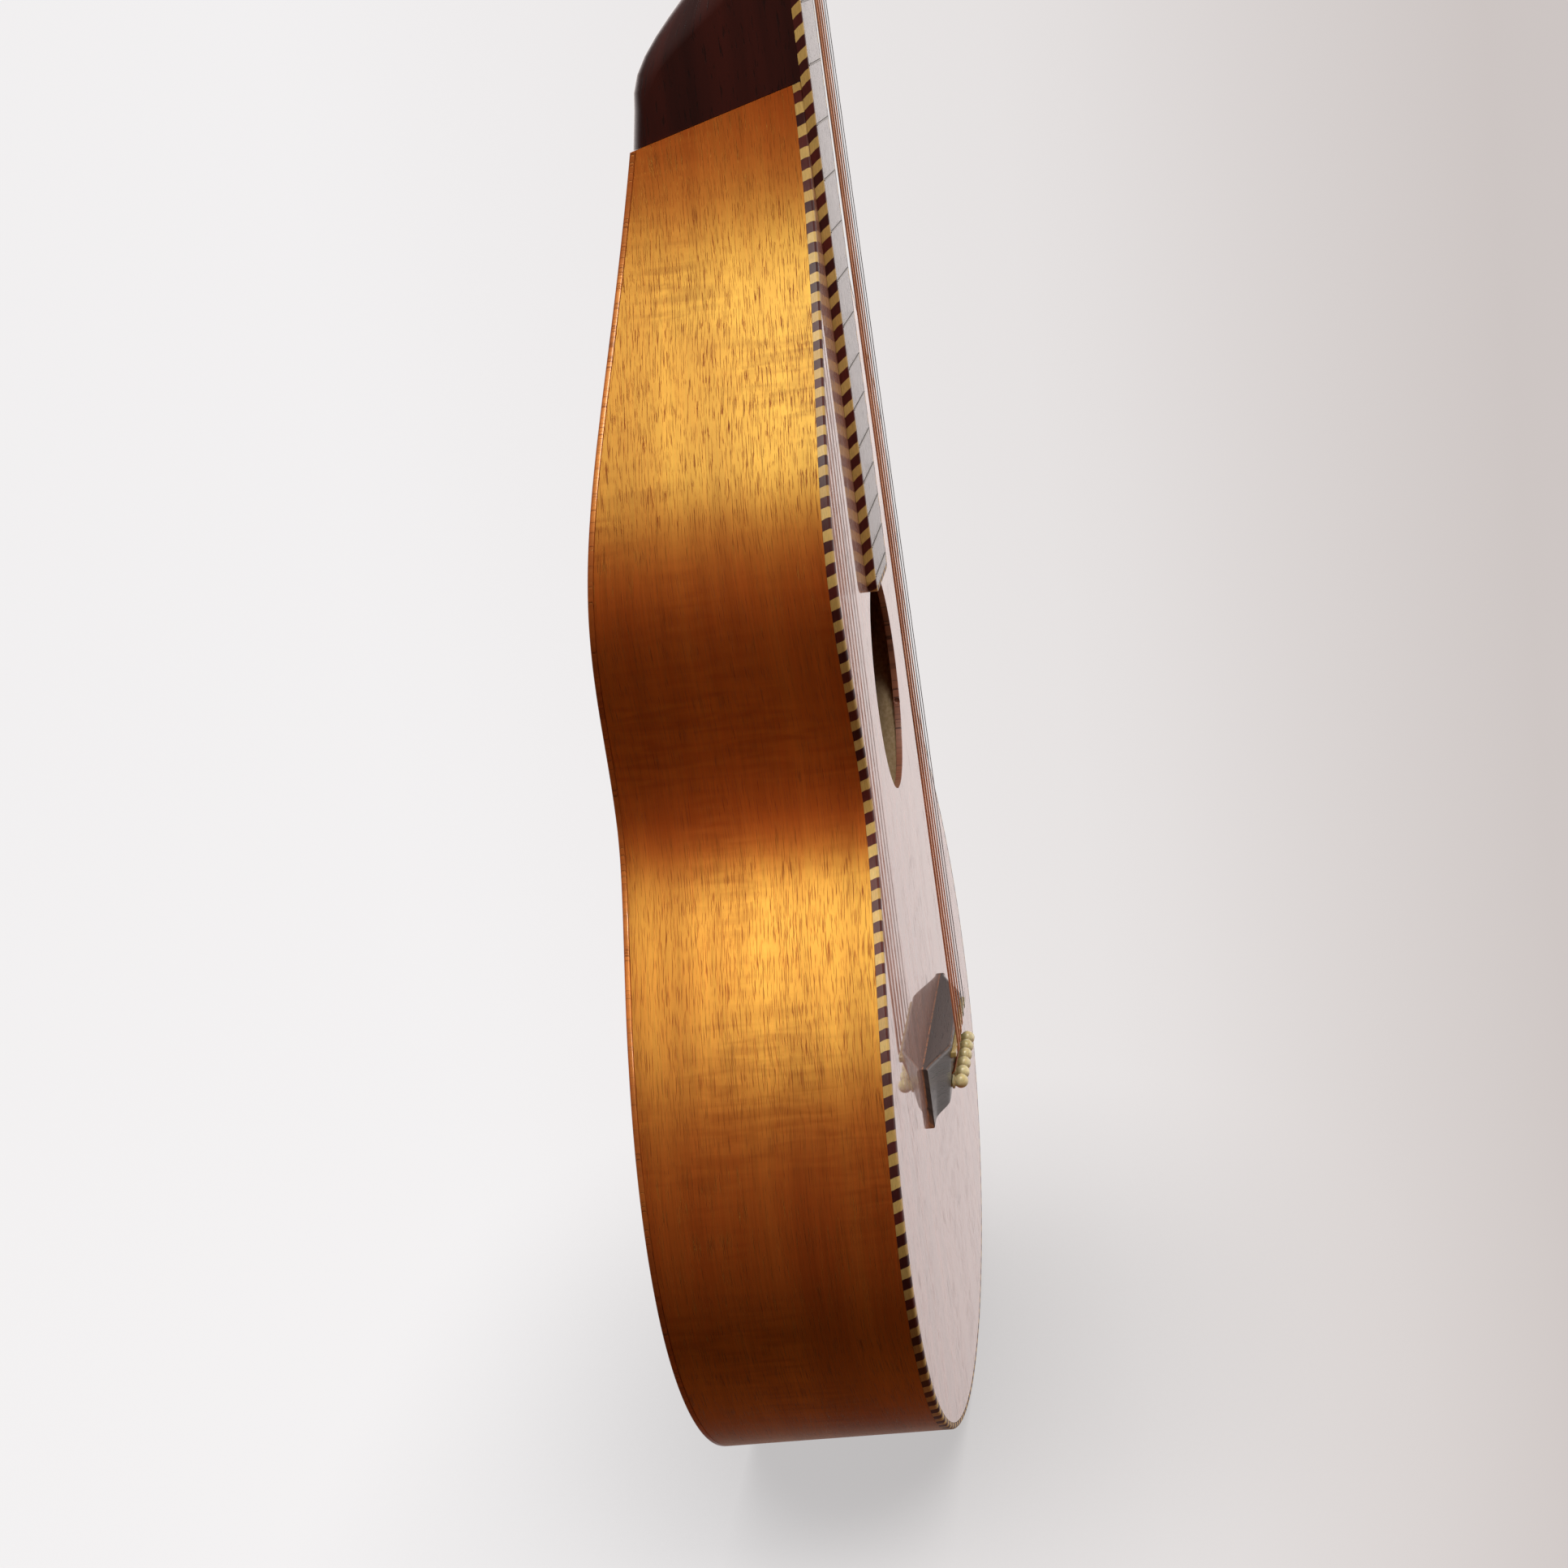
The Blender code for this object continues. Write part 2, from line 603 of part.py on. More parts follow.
def neck_section(half, depth, heel, place):
    """A flat-topped ring, rounded like a neck or squared like a heel, set in the scene by a matrix."""
    points = [(half, 0), (-half, 0)]
    power = 2 / NECK_SQUARENESS
    for i in range(1, NECK_SIDES):
        angle = math.pi * i / NECK_SIDES
        side = 0 if 2 * i == NECK_SIDES else -math.copysign(1, math.cos(angle))
        across, down = abs(math.cos(angle)), math.sin(angle)
        corner = (half - HEEL_CORNER * (1 - across), depth - HEEL_CORNER * (1 - down))
        neck = (half * across ** power, depth * down ** power)
        x, y = (n + (c - n) * heel for n, c in zip(neck, corner))
        points.append((side * x, y))
    return [place @ Vector((x, y, 0)) for x, y in points]


def head_place():
    """The headstock's own frame: its face at the nut's far side, set back by the tilt."""
    corner = Vector((0, FRONT_Y, NUT_Z + 2 * GAP + NUT_THICK))
    return Matrix.Translation(corner) @ Matrix.Rotation(-HEAD_TILT, 4, "X")


def head_outline():
    """Half of the headstock's face, widening to a shallow crown with a point in its middle."""
    shoulder = [(HEAD_HALF_LOW - HEAD_CORNER, HEAD_START), (HEAD_HALF_LOW, HEAD_START + HEAD_FLARE)]
    crown_z = HEAD_LENGTH - CROWN_DROP
    crown = [(HEAD_HALF_HIGH, crown_z)]
    rise = bezier((HEAD_HALF_HIGH, crown_z), (HEAD_HALF_HIGH - CROWN_DROP / 8, HEAD_LENGTH - CROWN_DROP / 8),
                  (CROWN_HALF, HEAD_LENGTH - CROWN_DROP * 3 / 4), (0, HEAD_LENGTH), 8)
    return [(0, HEAD_START)] + shoulder + crown + rise[1:] + [(0, HEAD_LENGTH)]


def make_neck():
    heights = [BODY_END_BACK - HEEL_SPARE, BODY_END_TOP]
    heights += [BODY_END_TOP + HEEL_SWEEP * i / 8 for i in range(1, 9)]
    heights += [(BODY_END_TOP + HEEL_SWEEP + NUT_Z) / 2, NUT_Z]
    sections = []
    for z in heights:
        heel = 1 - smoothstep((z - BODY_END_TOP) / HEEL_SWEEP)
        place = Matrix.Translation((0, FRONT_Y, z))
        sections.append(neck_section(board_half_width(z), neck_depth(z), heel, place))
    for along in (0, SCARF_LENGTH):
        sink = SCARF_SLOPE * along
        inside = head_place() @ Matrix.Translation((0, sink / 2, along))
        sections.append(neck_section(NUT_WIDTH / 2, HEAD_THICK - sink, SCARF_SQUARENESS, inside))
    shaft = loft("neck_shaft", sections)
    bm = bmesh.new()
    half = head_outline()
    outline = half + [(-x, z) for x, z in reversed(half[1:-1])]
    bm.faces.new([bm.verts.new((x, 0, z)) for x, z in outline])
    extrude_faces(bm, (0, HEAD_THICK, 0))
    head = add_object("headstock_paddle", bm)
    head.matrix_world = head_place()
    bpy.context.view_layer.update()
    neck = union_of("neck", [shaft, head], MAHOGANY)
    boolean(neck, end_cutter("heel_seat", GAP, -1))
    boolean(neck, post_holes())
    shade(neck, 40)


def post_places():
    """(number, side, height along the headstock) of each post, in the order of the strings."""
    treble = [POST_FIRST + POST_PITCH * step for step in range(3)]
    return [(i + 1, 1 if i < 3 else -1, z) for i, z in enumerate(treble + treble[::-1])]


def post_holes():
    bm = bmesh.new()
    for _, side, z in post_places():
        x = side * POST_X
        rod_mesh(bm, POST_RADIUS + POST_HOLE_CLEARANCE, (x, -CLEAR, z), (x, CLEAR, z), 12)
    holes = add_object("post_holes", bm)
    holes.matrix_world = head_place()
    return holes


def gear_outline():
    """The gear's teeth as straight-sided points round its axis."""
    outer, root = GEAR_PITCH_RADIUS + GEAR_ADDENDUM, GEAR_PITCH_RADIUS - GEAR_DEDENDUM
    pitch = 2 * math.pi / GEAR_TEETH
    points = []
    for tooth in range(GEAR_TEETH):
        for radius, share in ((root, -0.3), (outer, -0.1), (outer, 0.1), (root, 0.3)):
            angle = pitch * (tooth + share)
            points.append((radius * math.cos(angle), radius * math.sin(angle)))
    return points


def gear_middle():
    """How far behind the headstock's face the gears and worms lie."""
    return HEAD_THICK + 2 * GAP + PLATE_THICK + GEAR_COLLAR + GEAR_THICK / 2


def make_gear_mesh(name):
    """A gear whose teeth lean with the worm's thread."""
    lean = math.atan(WORM_LEAD / (2 * math.pi * WORM_PITCH_RADIUS))
    outline = gear_outline()
    sections = []
    for share in (-0.5, 0.5):
        z = share * GEAR_THICK
        turn = Matrix.Rotation(z * math.tan(lean) / GEAR_PITCH_RADIUS, 4, "Z")
        sections.append([turn @ Vector((x, y, z + gear_middle())) for x, y in outline])
    return loft(name, sections)


def make_post(number, side, along, head):
    """A string post that carries its gear behind the plate, drilled for the string."""
    name = f"tuner_post_{number}"
    collar_start = HEAD_THICK + 2 * GAP + PLATE_THICK
    cap = gear_middle() + GEAR_THICK / 2 + GEAR_SCREW_HEAD
    waist = POST_RADIUS - POST_WAIST
    groove = [(POST_RADIUS, 1 * MM - POST_WAIST_START), (waist, -1 * MM - POST_WAIST_START),
              (waist, 1 * MM - POST_WAIST_END), (POST_RADIUS, -1 * MM - POST_WAIST_END)]
    profile = [(0, cap), (GEAR_SCREW_RADIUS - POST_EDGE, cap), (GEAR_SCREW_RADIUS, cap - POST_EDGE),
               (GEAR_SCREW_RADIUS, gear_middle()), (HUB_RADIUS, gear_middle()), (HUB_RADIUS, collar_start),
               (POST_RADIUS, collar_start), *groove, (POST_RADIUS, POST_EDGE - POST_REACH),
               (POST_RADIUS - POST_EDGE, -POST_REACH), (0, -POST_REACH)]
    post = turned(name, profile, 8, NICKEL)
    gear = make_gear_mesh(f"gear_{number}")
    reach = 2 * POST_RADIUS
    ends = [(x, 0, POST_STRING_HEIGHT) for x in (-reach, reach)]
    hole = rod(f"string_hole_{number}", STRING_HOLE_RADIUS, *ends, sides=6)
    place = Matrix.Translation((side * POST_X, 0, along)) @ Matrix.Rotation(math.radians(-90), 4, "X")
    for obj in (post, gear, hole):
        obj.parent = head
        obj.matrix_local = place
    boolean(post, gear, "UNION")
    boolean(post, hole)


def thread_sections():
    """Rings along a right-hand thread whose ridge faces the gear at its middle."""
    base, crest = SHAFT_RADIUS - 0.2 * MM, WORM_PITCH_RADIUS + GEAR_ADDENDUM
    ridge = [(base, -0.75 * MM), (crest, -0.25 * MM), (crest, 0.25 * MM), (base, 0.75 * MM)]
    rings = []
    count = round(WORM_TURNS * WORM_STEPS)
    for step in range(count + 1):
        turn = 2 * math.pi * (step - count / 2) / WORM_STEPS
        along = WORM_LEAD * turn / (2 * math.pi)
        angle = turn + math.pi / 2
        rings.append([Vector((along + x, r * math.cos(angle), r * math.sin(angle))) for r, x in ridge])
    return rings


def make_key(number, side, along, head):
    """The key's shaft with its worm, and the button pressed on its outer end."""
    name = f"tuner_key_{number}"
    inner, outer = -EAR_OFFSET - EAR_THICK - 0.4 * MM, BUTTON_X + 2 * MM
    shaft = rod(f"{name}_shaft", SHAFT_RADIUS, (side * inner, 0, 0), (side * outer, 0, 0), sides=8)
    thread = loft(f"{name}_thread", thread_sections())
    button = make_button(f"tuner_button_{number}", side)
    place = Matrix.Translation((side * POST_X, gear_middle(), along - CENTRE_DISTANCE))
    key = union_of(name, [shaft, thread], NICKEL)
    for obj in (thread, key, *button):
        obj.parent = head
        obj.matrix_local = place
    shade(key)


def make_button(name, side):
    """An oval button, thick at its rim, bored for the shaft."""
    bm = bmesh.new()
    bmesh.ops.create_uvsphere(bm, u_segments=12, v_segments=6, radius=1)
    for vert in bm.verts:
        for axis, half in enumerate((BUTTON_LENGTH / 2, BUTTON_THICK / 2, BUTTON_WIDTH / 2)):
            share = vert.co[axis]
            vert.co[axis] = math.copysign(abs(share) ** BUTTON_FULLNESS, share) * half
    bmesh.ops.translate(bm, vec=(side * BUTTON_X, 0, 0), verts=bm.verts)
    button = add_object(name, bm, BONE)
    near, far = side * (BUTTON_X - BUTTON_LENGTH), side * (BUTTON_X + 2 * MM + GAP)
    bore = rod(f"{name}_bore", SHAFT_RADIUS + GAP, (near, 0, 0), (far, 0, 0), sides=12)
    boolean(button, bore)
    shade(button, 50)
    return button, bore


def make_plates(head):
    """One plate a side on the headstock's back, with two ears for each worm's shaft."""
    middle = POST_FIRST + POST_PITCH
    length = 2 * POST_PITCH + 2 * PLATE_MARGIN
    back = HEAD_THICK + GAP
    for label, side in (("bass", -1), ("treble", 1)):
        plate = box(f"tuner_plate_{label}_sheet", (0, 0, 0), (2 * PLATE_HALF, PLATE_THICK, length))
        ears, holes = bmesh.new(), bmesh.new()
        for _, _, along in [place for place in post_places() if place[1] == side]:
            z = along - CENTRE_DISTANCE
            for x in (-EAR_OFFSET, EAR_OFFSET):
                add_ear(ears, x, z - middle)
            post_z = along - middle
            ends = [(0, depth, post_z) for depth in (-PLATE_THICK, PLATE_THICK)]
            rod_mesh(holes, POST_RADIUS + POST_HOLE_CLEARANCE, *ends, 12)
            drop = gear_middle() - back - PLATE_THICK / 2
            reach = EAR_OFFSET + 2 * EAR_THICK
            rod_mesh(holes, SHAFT_RADIUS + GAP, (-reach, drop, z - middle), (reach, drop, z - middle), 8)
        ear_set = add_object(f"ears_{label}", ears)
        hole_set = add_object(f"plate_holes_{label}", holes)
        joined = union_of(f"tuner_plate_{label}", [plate, ear_set], NICKEL)
        boolean(joined, hole_set)
        for obj in (joined, ear_set, hole_set):
            obj.parent = head
            obj.matrix_local = Matrix.Translation((side * POST_X, back + PLATE_THICK / 2, middle))


def add_ear(bm, x, z):
    """A round-topped lug that stands on the plate, added to a bmesh."""
    top = gear_middle() - HEAD_THICK - GAP - PLATE_THICK / 2
    radius = SHAFT_RADIUS + 1.5 * MM
    arch = [(top + radius * math.sin(a), radius * math.cos(a)) for a in (math.pi * i / 4 for i in range(5))]
    outline = [(0, radius + 0.8 * MM)] + arch + [(0, -radius - 0.8 * MM)]
    low = [bm.verts.new((x - EAR_THICK / 2, y, z + dz)) for y, dz in outline]
    high = [bm.verts.new((x + EAR_THICK / 2, y, z + dz)) for y, dz in outline]
    bm.faces.new(low)
    bm.faces.new(high[::-1])
    for i in range(len(outline)):
        j = (i + 1) % len(outline)
        bm.faces.new((low[j], low[i], high[i], high[j]))


def bridge_section(x):
    """The bridge's profile square to its length, as points in the scene."""
    wing = BRIDGE_HALF - 2 * MM
    rise = 1 - smoothstep((abs(x) - BRIDGE_FRONT_FULL) / (wing - BRIDGE_FRONT_FULL))
    fall = 1 - smoothstep((abs(x) - BRIDGE_TAIL_FULL) / (wing - BRIDGE_TAIL_FULL))
    front = BRIDGE_WING + (BRIDGE_FRONT_HEIGHT - BRIDGE_WING) * rise
    tail = BRIDGE_WING + (BRIDGE_TAIL_HEIGHT - BRIDGE_WING) * fall
    edge = 0.7 * MM
    profile = [(BRIDGE_FRONT, GAP), (BRIDGE_FRONT - edge, front - edge), (BRIDGE_FRONT - 3 * edge, front),
               (BRIDGE_TAIL + edge, tail), (BRIDGE_TAIL, tail - edge), (BRIDGE_TAIL, GAP)]
    return [on_soundboard(x, height, SADDLE_Z + z) for z, height in profile]


def bridge_stations():
    half = [0, 0.3 * BRIDGE_TAIL_FULL]
    half += [BRIDGE_TAIL_FULL + (BRIDGE_HALF - BRIDGE_TAIL_FULL) * i / 10 for i in range(11)]
    return [-x for x in reversed(half[1:])] + half


def string_x(number, span):
    return span / 2 - (number - 1) * span / 5


def keyhole(number):
    """A pin's hole with the string's slot on the saddle's side, as (x, z) points."""
    x, angle = string_x(number, SADDLE_SPAN), math.radians(22)
    turns = [angle + (2 * math.pi - 2 * angle) * i / 9 for i in range(10)]
    points = [(x + PIN_HOLE_RADIUS * math.sin(a), PIN_Z + PIN_HOLE_RADIUS * math.cos(a)) for a in turns]
    slot = [math.pi * i / 4 for i in range(5)]
    return points + [(x - STRING_SLOT_RADIUS * math.cos(a),
                      PIN_Z + STRING_SLOT_OFFSET + STRING_SLOT_RADIUS * math.sin(a)) for a in slot]


def make_bridge_and_pins():
    bridge = loft("bridge", [bridge_section(x) for x in bridge_stations()], ROSEWOOD)
    bm = bmesh.new()
    for number in range(1, 7):
        outline = keyhole(number)
        rows = [[bm.verts.new((x, FRONT_Y + depth, z)) for x, z in outline] for depth in (-CLEAR, CLEAR)]
        bm.faces.new(rows[0])
        bm.faces.new(rows[1][::-1])
        for i in range(len(rows[0])):
            j = (i + 1) % len(rows[0])
            bm.faces.new((rows[0][j], rows[0][i], rows[1][i], rows[1][j]))
    holes = add_object("pin_holes", bm)
    slot_floor = SADDLE_TOP - SADDLE_SLOT
    slot_size = (2 * (SADDLE_HALF + GAP), CLEAR, SADDLE_THICK + 2 * GAP)
    slot = box("saddle_slot", on_soundboard(0, slot_floor - GAP + CLEAR / 2, SADDLE_Z), slot_size)
    boolean(bridge, slot)
    plate_front = TOP_THICK + GAP
    middle = SADDLE_Z + (BRIDGE_FRONT + BRIDGE_TAIL) / 2
    centre = on_soundboard(0, -plate_front - BRIDGE_PLATE_THICK / 2, middle)
    size = (2 * BRIDGE_PLATE_HALF, BRIDGE_PLATE_THICK, BRIDGE_FRONT - BRIDGE_TAIL)
    plate = box("bridge_plate", centre, size, ROSEWOOD)
    for piece in (bridge, plate, bpy.data.objects["soundboard"]):
        boolean(piece, holes)
    saddle_size = (2 * SADDLE_HALF, SADDLE_SLOT, SADDLE_THICK)
    saddle = box("saddle", on_soundboard(0, SADDLE_TOP - SADDLE_SLOT / 2, SADDLE_Z), saddle_size, BONE)
    round_edges(saddle, lambda co: co.y < 0, 1.3 * MM, 2)
    for number in range(1, 7):
        make_pin(number)


def make_pin(number):
    """A ball-headed pin with a collar over a tapered shank."""
    collar = PIN_BALL_HEIGHT - PIN_BALL_RADIUS
    ball = [(PIN_BALL_RADIUS * math.sin(a), PIN_BALL_HEIGHT + PIN_BALL_RADIUS * math.cos(a))
            for a in (math.radians(34 * i) for i in range(5))]
    profile = ball + [(2 * MM, collar + 0.3 * MM), (PIN_COLLAR, collar), (PIN_COLLAR, collar - 0.8 * MM),
                      (PIN_SHANK, collar - 0.8 * MM), (PIN_SHANK - 0.4 * MM, -PIN_TIP), (0, -PIN_TIP)]
    pin = turned(f"bridge_pin_{number}", profile, 8, BONE)
    pin.location = on_soundboard(string_x(number, SADDLE_SPAN), 0, PIN_Z)
    pin.rotation_euler = (math.radians(90), 0, 0)


def string_route(number):
    """Points of a string from its ball end to its post, each with a factor on its radius."""
    radius = STRING_RADII[number - 1]
    low, high = string_x(number, SADDLE_SPAN), string_x(number, NUT_SPAN)
    slot_z = PIN_Z + STRING_SLOT_OFFSET + 0.3 * MM
    crown, nut_top = SADDLE_TOP + GAP + radius, NUT_HEIGHT + GAP + radius
    ball = BALL_END_RADIUS / radius
    _, side, along = post_places()[number - 1]
    touch = side * (POST_X - POST_RADIUS - GAP - radius)
    post = head_place() @ Vector((touch, POST_STRING_HEIGHT, along))
    return [(on_soundboard(low, -BALL_END_DEPTH - 2 * MM, slot_z), ball),
            (on_soundboard(low, -BALL_END_DEPTH, slot_z), ball),
            (on_soundboard(low, 0.1 * MM - BALL_END_DEPTH, slot_z), 1),
            (on_soundboard(low, STRING_BREAK_HEIGHT, slot_z), 1),
            (on_soundboard(low, crown - 0.1 * MM, SADDLE_Z - 0.6 * MM), 1),
            (on_soundboard(low, crown, SADDLE_Z), 1),
            (on_soundboard(high, nut_top, NUT_Z + 2 * MM), 1),
            (on_soundboard(high, nut_top - 0.15 * MM, NUT_Z + 4 * MM), 1),
            (post, 1)]


def make_string(number):
    curve = bpy.data.curves.new(f"string_{number}", "CURVE")
    curve.dimensions = "3D"
    curve.bevel_depth = STRING_RADII[number - 1]
    curve.bevel_resolution = 1
    curve.use_fill_caps = True
    route = string_route(number)
    spline = curve.splines.new("POLY")
    spline.points.add(len(route) - 1)
    for point, (place, factor) in zip(spline.points, route):
        point.co = (*place, 1)
        point.radius = factor
    obj = bpy.data.objects.new(curve.name, curve)
    finish_object(obj, BRONZE if number > 2 else STEEL)


def make_tuners():
    head = bpy.data.objects.new("headstock_frame", None)
    head.empty_display_size = 20 * MM
    head.matrix_world = head_place()
    GUITAR.objects.link(head)
    make_plates(head)
    for number, side, along in post_places():
        make_post(number, side, along, head)
        make_key(number, side, along, head)


clear_scene()
GUITAR = new_collection("hawaiian_guitar")
CUTTERS = new_collection("cutters", hidden=True)
body_end = end_cutter("body_end", 0)
behind_back = layer("behind_back", BACK_THICK + GAP, -PAST_BACK)
make_soundboard(body_end)
make_back(body_end)
make_sides(body_end, behind_back)
make_rope_binding(body_end)
make_linings()
make_blocks(behind_back)
make_braces()
make_fretboard()
make_nut()
make_neck()
make_tuners()
make_bridge_and_pins()
for string_number in range(1, 7):
    make_string(string_number)
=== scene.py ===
"""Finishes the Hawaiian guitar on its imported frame: koa body, rope binding, neck, bridge, strings and tuners.

Everything is in metres. +Z runs up the neck, +Y towards the back, +X to the treble side, and the
soundboard's face lies 50 mm in front of the middle. Grain maps are in metres along and across the grain.
"""

import math

import bpy
from mathutils import Matrix, Vector
from mathutils.geometry import interpolate_bezier


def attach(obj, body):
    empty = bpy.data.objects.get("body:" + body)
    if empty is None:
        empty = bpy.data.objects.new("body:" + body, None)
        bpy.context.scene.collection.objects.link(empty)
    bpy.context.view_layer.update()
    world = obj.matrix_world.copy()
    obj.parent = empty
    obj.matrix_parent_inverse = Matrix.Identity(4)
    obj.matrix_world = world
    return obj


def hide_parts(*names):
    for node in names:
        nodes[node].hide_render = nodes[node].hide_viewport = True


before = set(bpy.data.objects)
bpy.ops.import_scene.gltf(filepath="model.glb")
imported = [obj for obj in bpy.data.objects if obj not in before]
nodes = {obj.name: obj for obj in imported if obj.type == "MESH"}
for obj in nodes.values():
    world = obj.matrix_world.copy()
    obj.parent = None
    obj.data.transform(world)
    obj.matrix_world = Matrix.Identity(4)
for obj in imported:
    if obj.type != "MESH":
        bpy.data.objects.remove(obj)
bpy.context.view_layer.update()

MM = 0.001


# Camera
# The photograph is taken from the bass side, a little in front of the soundboard and above the waist.
# Its place was fitted to the frets, the strings, the soundhole and the edges of the body.
bpy.ops.object.camera_add(location=(-1.332, -0.193, 0.636))
camera = bpy.context.object
camera.rotation_euler = [math.radians(turn) for turn in (75.10084, 7.79736, -83.78785)]
camera.data.sensor_width = 36
camera.data.lens = 72.9
camera.data.clip_start = 0.02
camera.data.clip_end = 200
bpy.context.scene.camera = camera


# Studio
# A pale paper sweep that only the camera sees, whose glow is a painted lamp falloff with a painted shadow near
# the guitar's foot; a soft lamp high over the bass side, and a room that is bright behind the guitar and dark
# behind the camera.
def link_or_set(tree, socket, value):
    if isinstance(value, bpy.types.NodeSocket):
        tree.links.new(value, socket)
    elif socket.type == "RGBA" and len(value) == 3:
        socket.default_value = (*value, 1)
    else:
        socket.default_value = value


def node(tree, kind, settings=None, **inputs):
    """A new shader node. Each keyword sets the input of that name, or links an output to it."""
    made = tree.nodes.new("ShaderNode" + kind)
    for key, value in (settings or {}).items():
        setattr(made, key, value)
    for key, value in inputs.items():
        link_or_set(tree, made.inputs[key.replace("_", " ")], value)
    return made


def ramp(tree, factor, *stops):
    """Colours or greys over a factor, as (position, colour) stops."""
    made = tree.nodes.new("ShaderNodeValToRGB")
    while len(made.color_ramp.elements) < len(stops):
        made.color_ramp.elements.new(0.5)
    for element, (position, colour) in zip(made.color_ramp.elements, stops):
        element.position = position
        element.color = (colour, colour, colour, 1) if isinstance(colour, (int, float)) else (*colour, 1)
    link_or_set(tree, made.inputs["Fac"], factor)
    return made.outputs["Color"]


def maths(tree, operation, first, second=0.0):
    made = tree.nodes.new("ShaderNodeMath")
    made.operation = operation
    link_or_set(tree, made.inputs[0], first)
    link_or_set(tree, made.inputs[1], second)
    return made.outputs[0]


def mixed(tree, factor, first, second, blend="MIX"):
    made = tree.nodes.new("ShaderNodeMix")
    made.data_type = "RGBA"
    made.blend_type = blend
    link_or_set(tree, made.inputs["Factor"], factor)
    link_or_set(tree, made.inputs[6], first)
    link_or_set(tree, made.inputs[7], second)
    return made.outputs[2]


def new_material(name, roughness=0.5, metallic=0.0, coat=0.0, coat_roughness=0.1):
    made = bpy.data.materials.new(name)
    made.use_nodes = True
    shader = made.node_tree.nodes["Principled BSDF"]
    shader.inputs["Roughness"].default_value = roughness
    shader.inputs["Metallic"].default_value = metallic
    shader.inputs["Coat Weight"].default_value = coat
    shader.inputs["Coat Roughness"].default_value = coat_roughness
    return made, made.node_tree, shader


def select_only(obj):
    for other in bpy.context.selected_objects:
        other.select_set(False)
    bpy.context.view_layer.objects.active = obj
    obj.select_set(True)


def edit(obj, mode="VERT"):
    select_only(obj)
    bpy.ops.object.mode_set(mode="EDIT")
    bpy.ops.mesh.select_mode(type=mode)
    bpy.ops.mesh.select_all(action="SELECT")


def leave_edit():
    bpy.ops.object.mode_set(mode="OBJECT")


def select_faces(obj, wanted):
    """Goes into edit mode with only the wanted faces selected."""
    edit(obj, "FACE")
    bpy.ops.mesh.select_all(action="DESELECT")
    leave_edit()
    for face in obj.data.polygons:
        face.select = wanted(face)
    bpy.ops.object.mode_set(mode="EDIT")


def apply_modifier(obj, kind, **settings):
    select_only(obj)
    modifier = obj.modifiers.new(kind.lower(), kind)
    for key, value in settings.items():
        setattr(modifier, key, value)
    bpy.ops.object.modifier_apply(modifier=modifier.name)


def smooth_by_angle(obj, angle):
    select_only(obj)
    bpy.ops.object.shade_smooth_by_angle(angle=math.radians(angle))


select_only(camera)
bpy.ops.mesh.primitive_cylinder_add(vertices=96, radius=8, depth=7, location=(0, 0, 3.4995))
sweep = bpy.context.object
sweep.name = "paper_sweep"
select_faces(sweep, lambda face: face.normal.z > 0.9)
bpy.ops.mesh.delete(type="FACE")
bpy.ops.mesh.select_all(action="SELECT")
bpy.ops.mesh.flip_normals()
leave_edit()
apply_modifier(sweep, "BEVEL", width=3, segments=16, limit_method="ANGLE", angle_limit=math.radians(60))
smooth_by_angle(sweep, 60)
paper, tree, shader = new_material("paper_painted_falloff_and_shadow", roughness=1.0)
place = node(tree, "SeparateXYZ", Vector=node(tree, "NewGeometry").outputs["Position"])
# Painted light: the paper's emitted grey rises and falls round one upright line, standing in for a lamp's falloff.
aside = maths(tree, "ARCTAN2", maths(tree, "ADD", place.outputs["Y"], 0.193), maths(tree, "ADD", place.outputs["X"], 1.332))
round_room = maths(tree, "ADD", maths(tree, "MULTIPLY", aside, 0.5 / math.pi), 0.5)
painted_lamp_falloff = ramp(tree, round_room, (0.0, (0.80, 0.78, 0.775)), (0.44, (0.64, 0.60, 0.59)), (0.484, (0.60, 0.55, 0.535)),
            (0.4968, (0.70, 0.66, 0.65)), (0.5064, (0.78, 0.75, 0.745)), (0.5414, (0.88, 0.865, 0.87)),
            (1.0, (0.80, 0.78, 0.775)))
shader.inputs["Base Color"].default_value = (0.04, 0.039, 0.038, 1)
shader.inputs["Specular IOR Level"].default_value = 0.0
shader.inputs["Emission Strength"].default_value = 1.0
# Painted shadow: the paper's glow is darkened where other things are close, round the guitar's foot.
painted_foot_shadow = ramp(tree, node(tree, "AmbientOcclusion", Distance=0.2).outputs["AO"], (0.3, 0.62), (1.0, 1.0))
tree.links.new(mixed(tree, 1.0, painted_lamp_falloff, painted_foot_shadow, "MULTIPLY"), shader.inputs["Emission Color"])
sweep.data.materials.append(paper)
sweep.visible_diffuse = sweep.visible_glossy = sweep.visible_transmission = sweep.visible_shadow = False

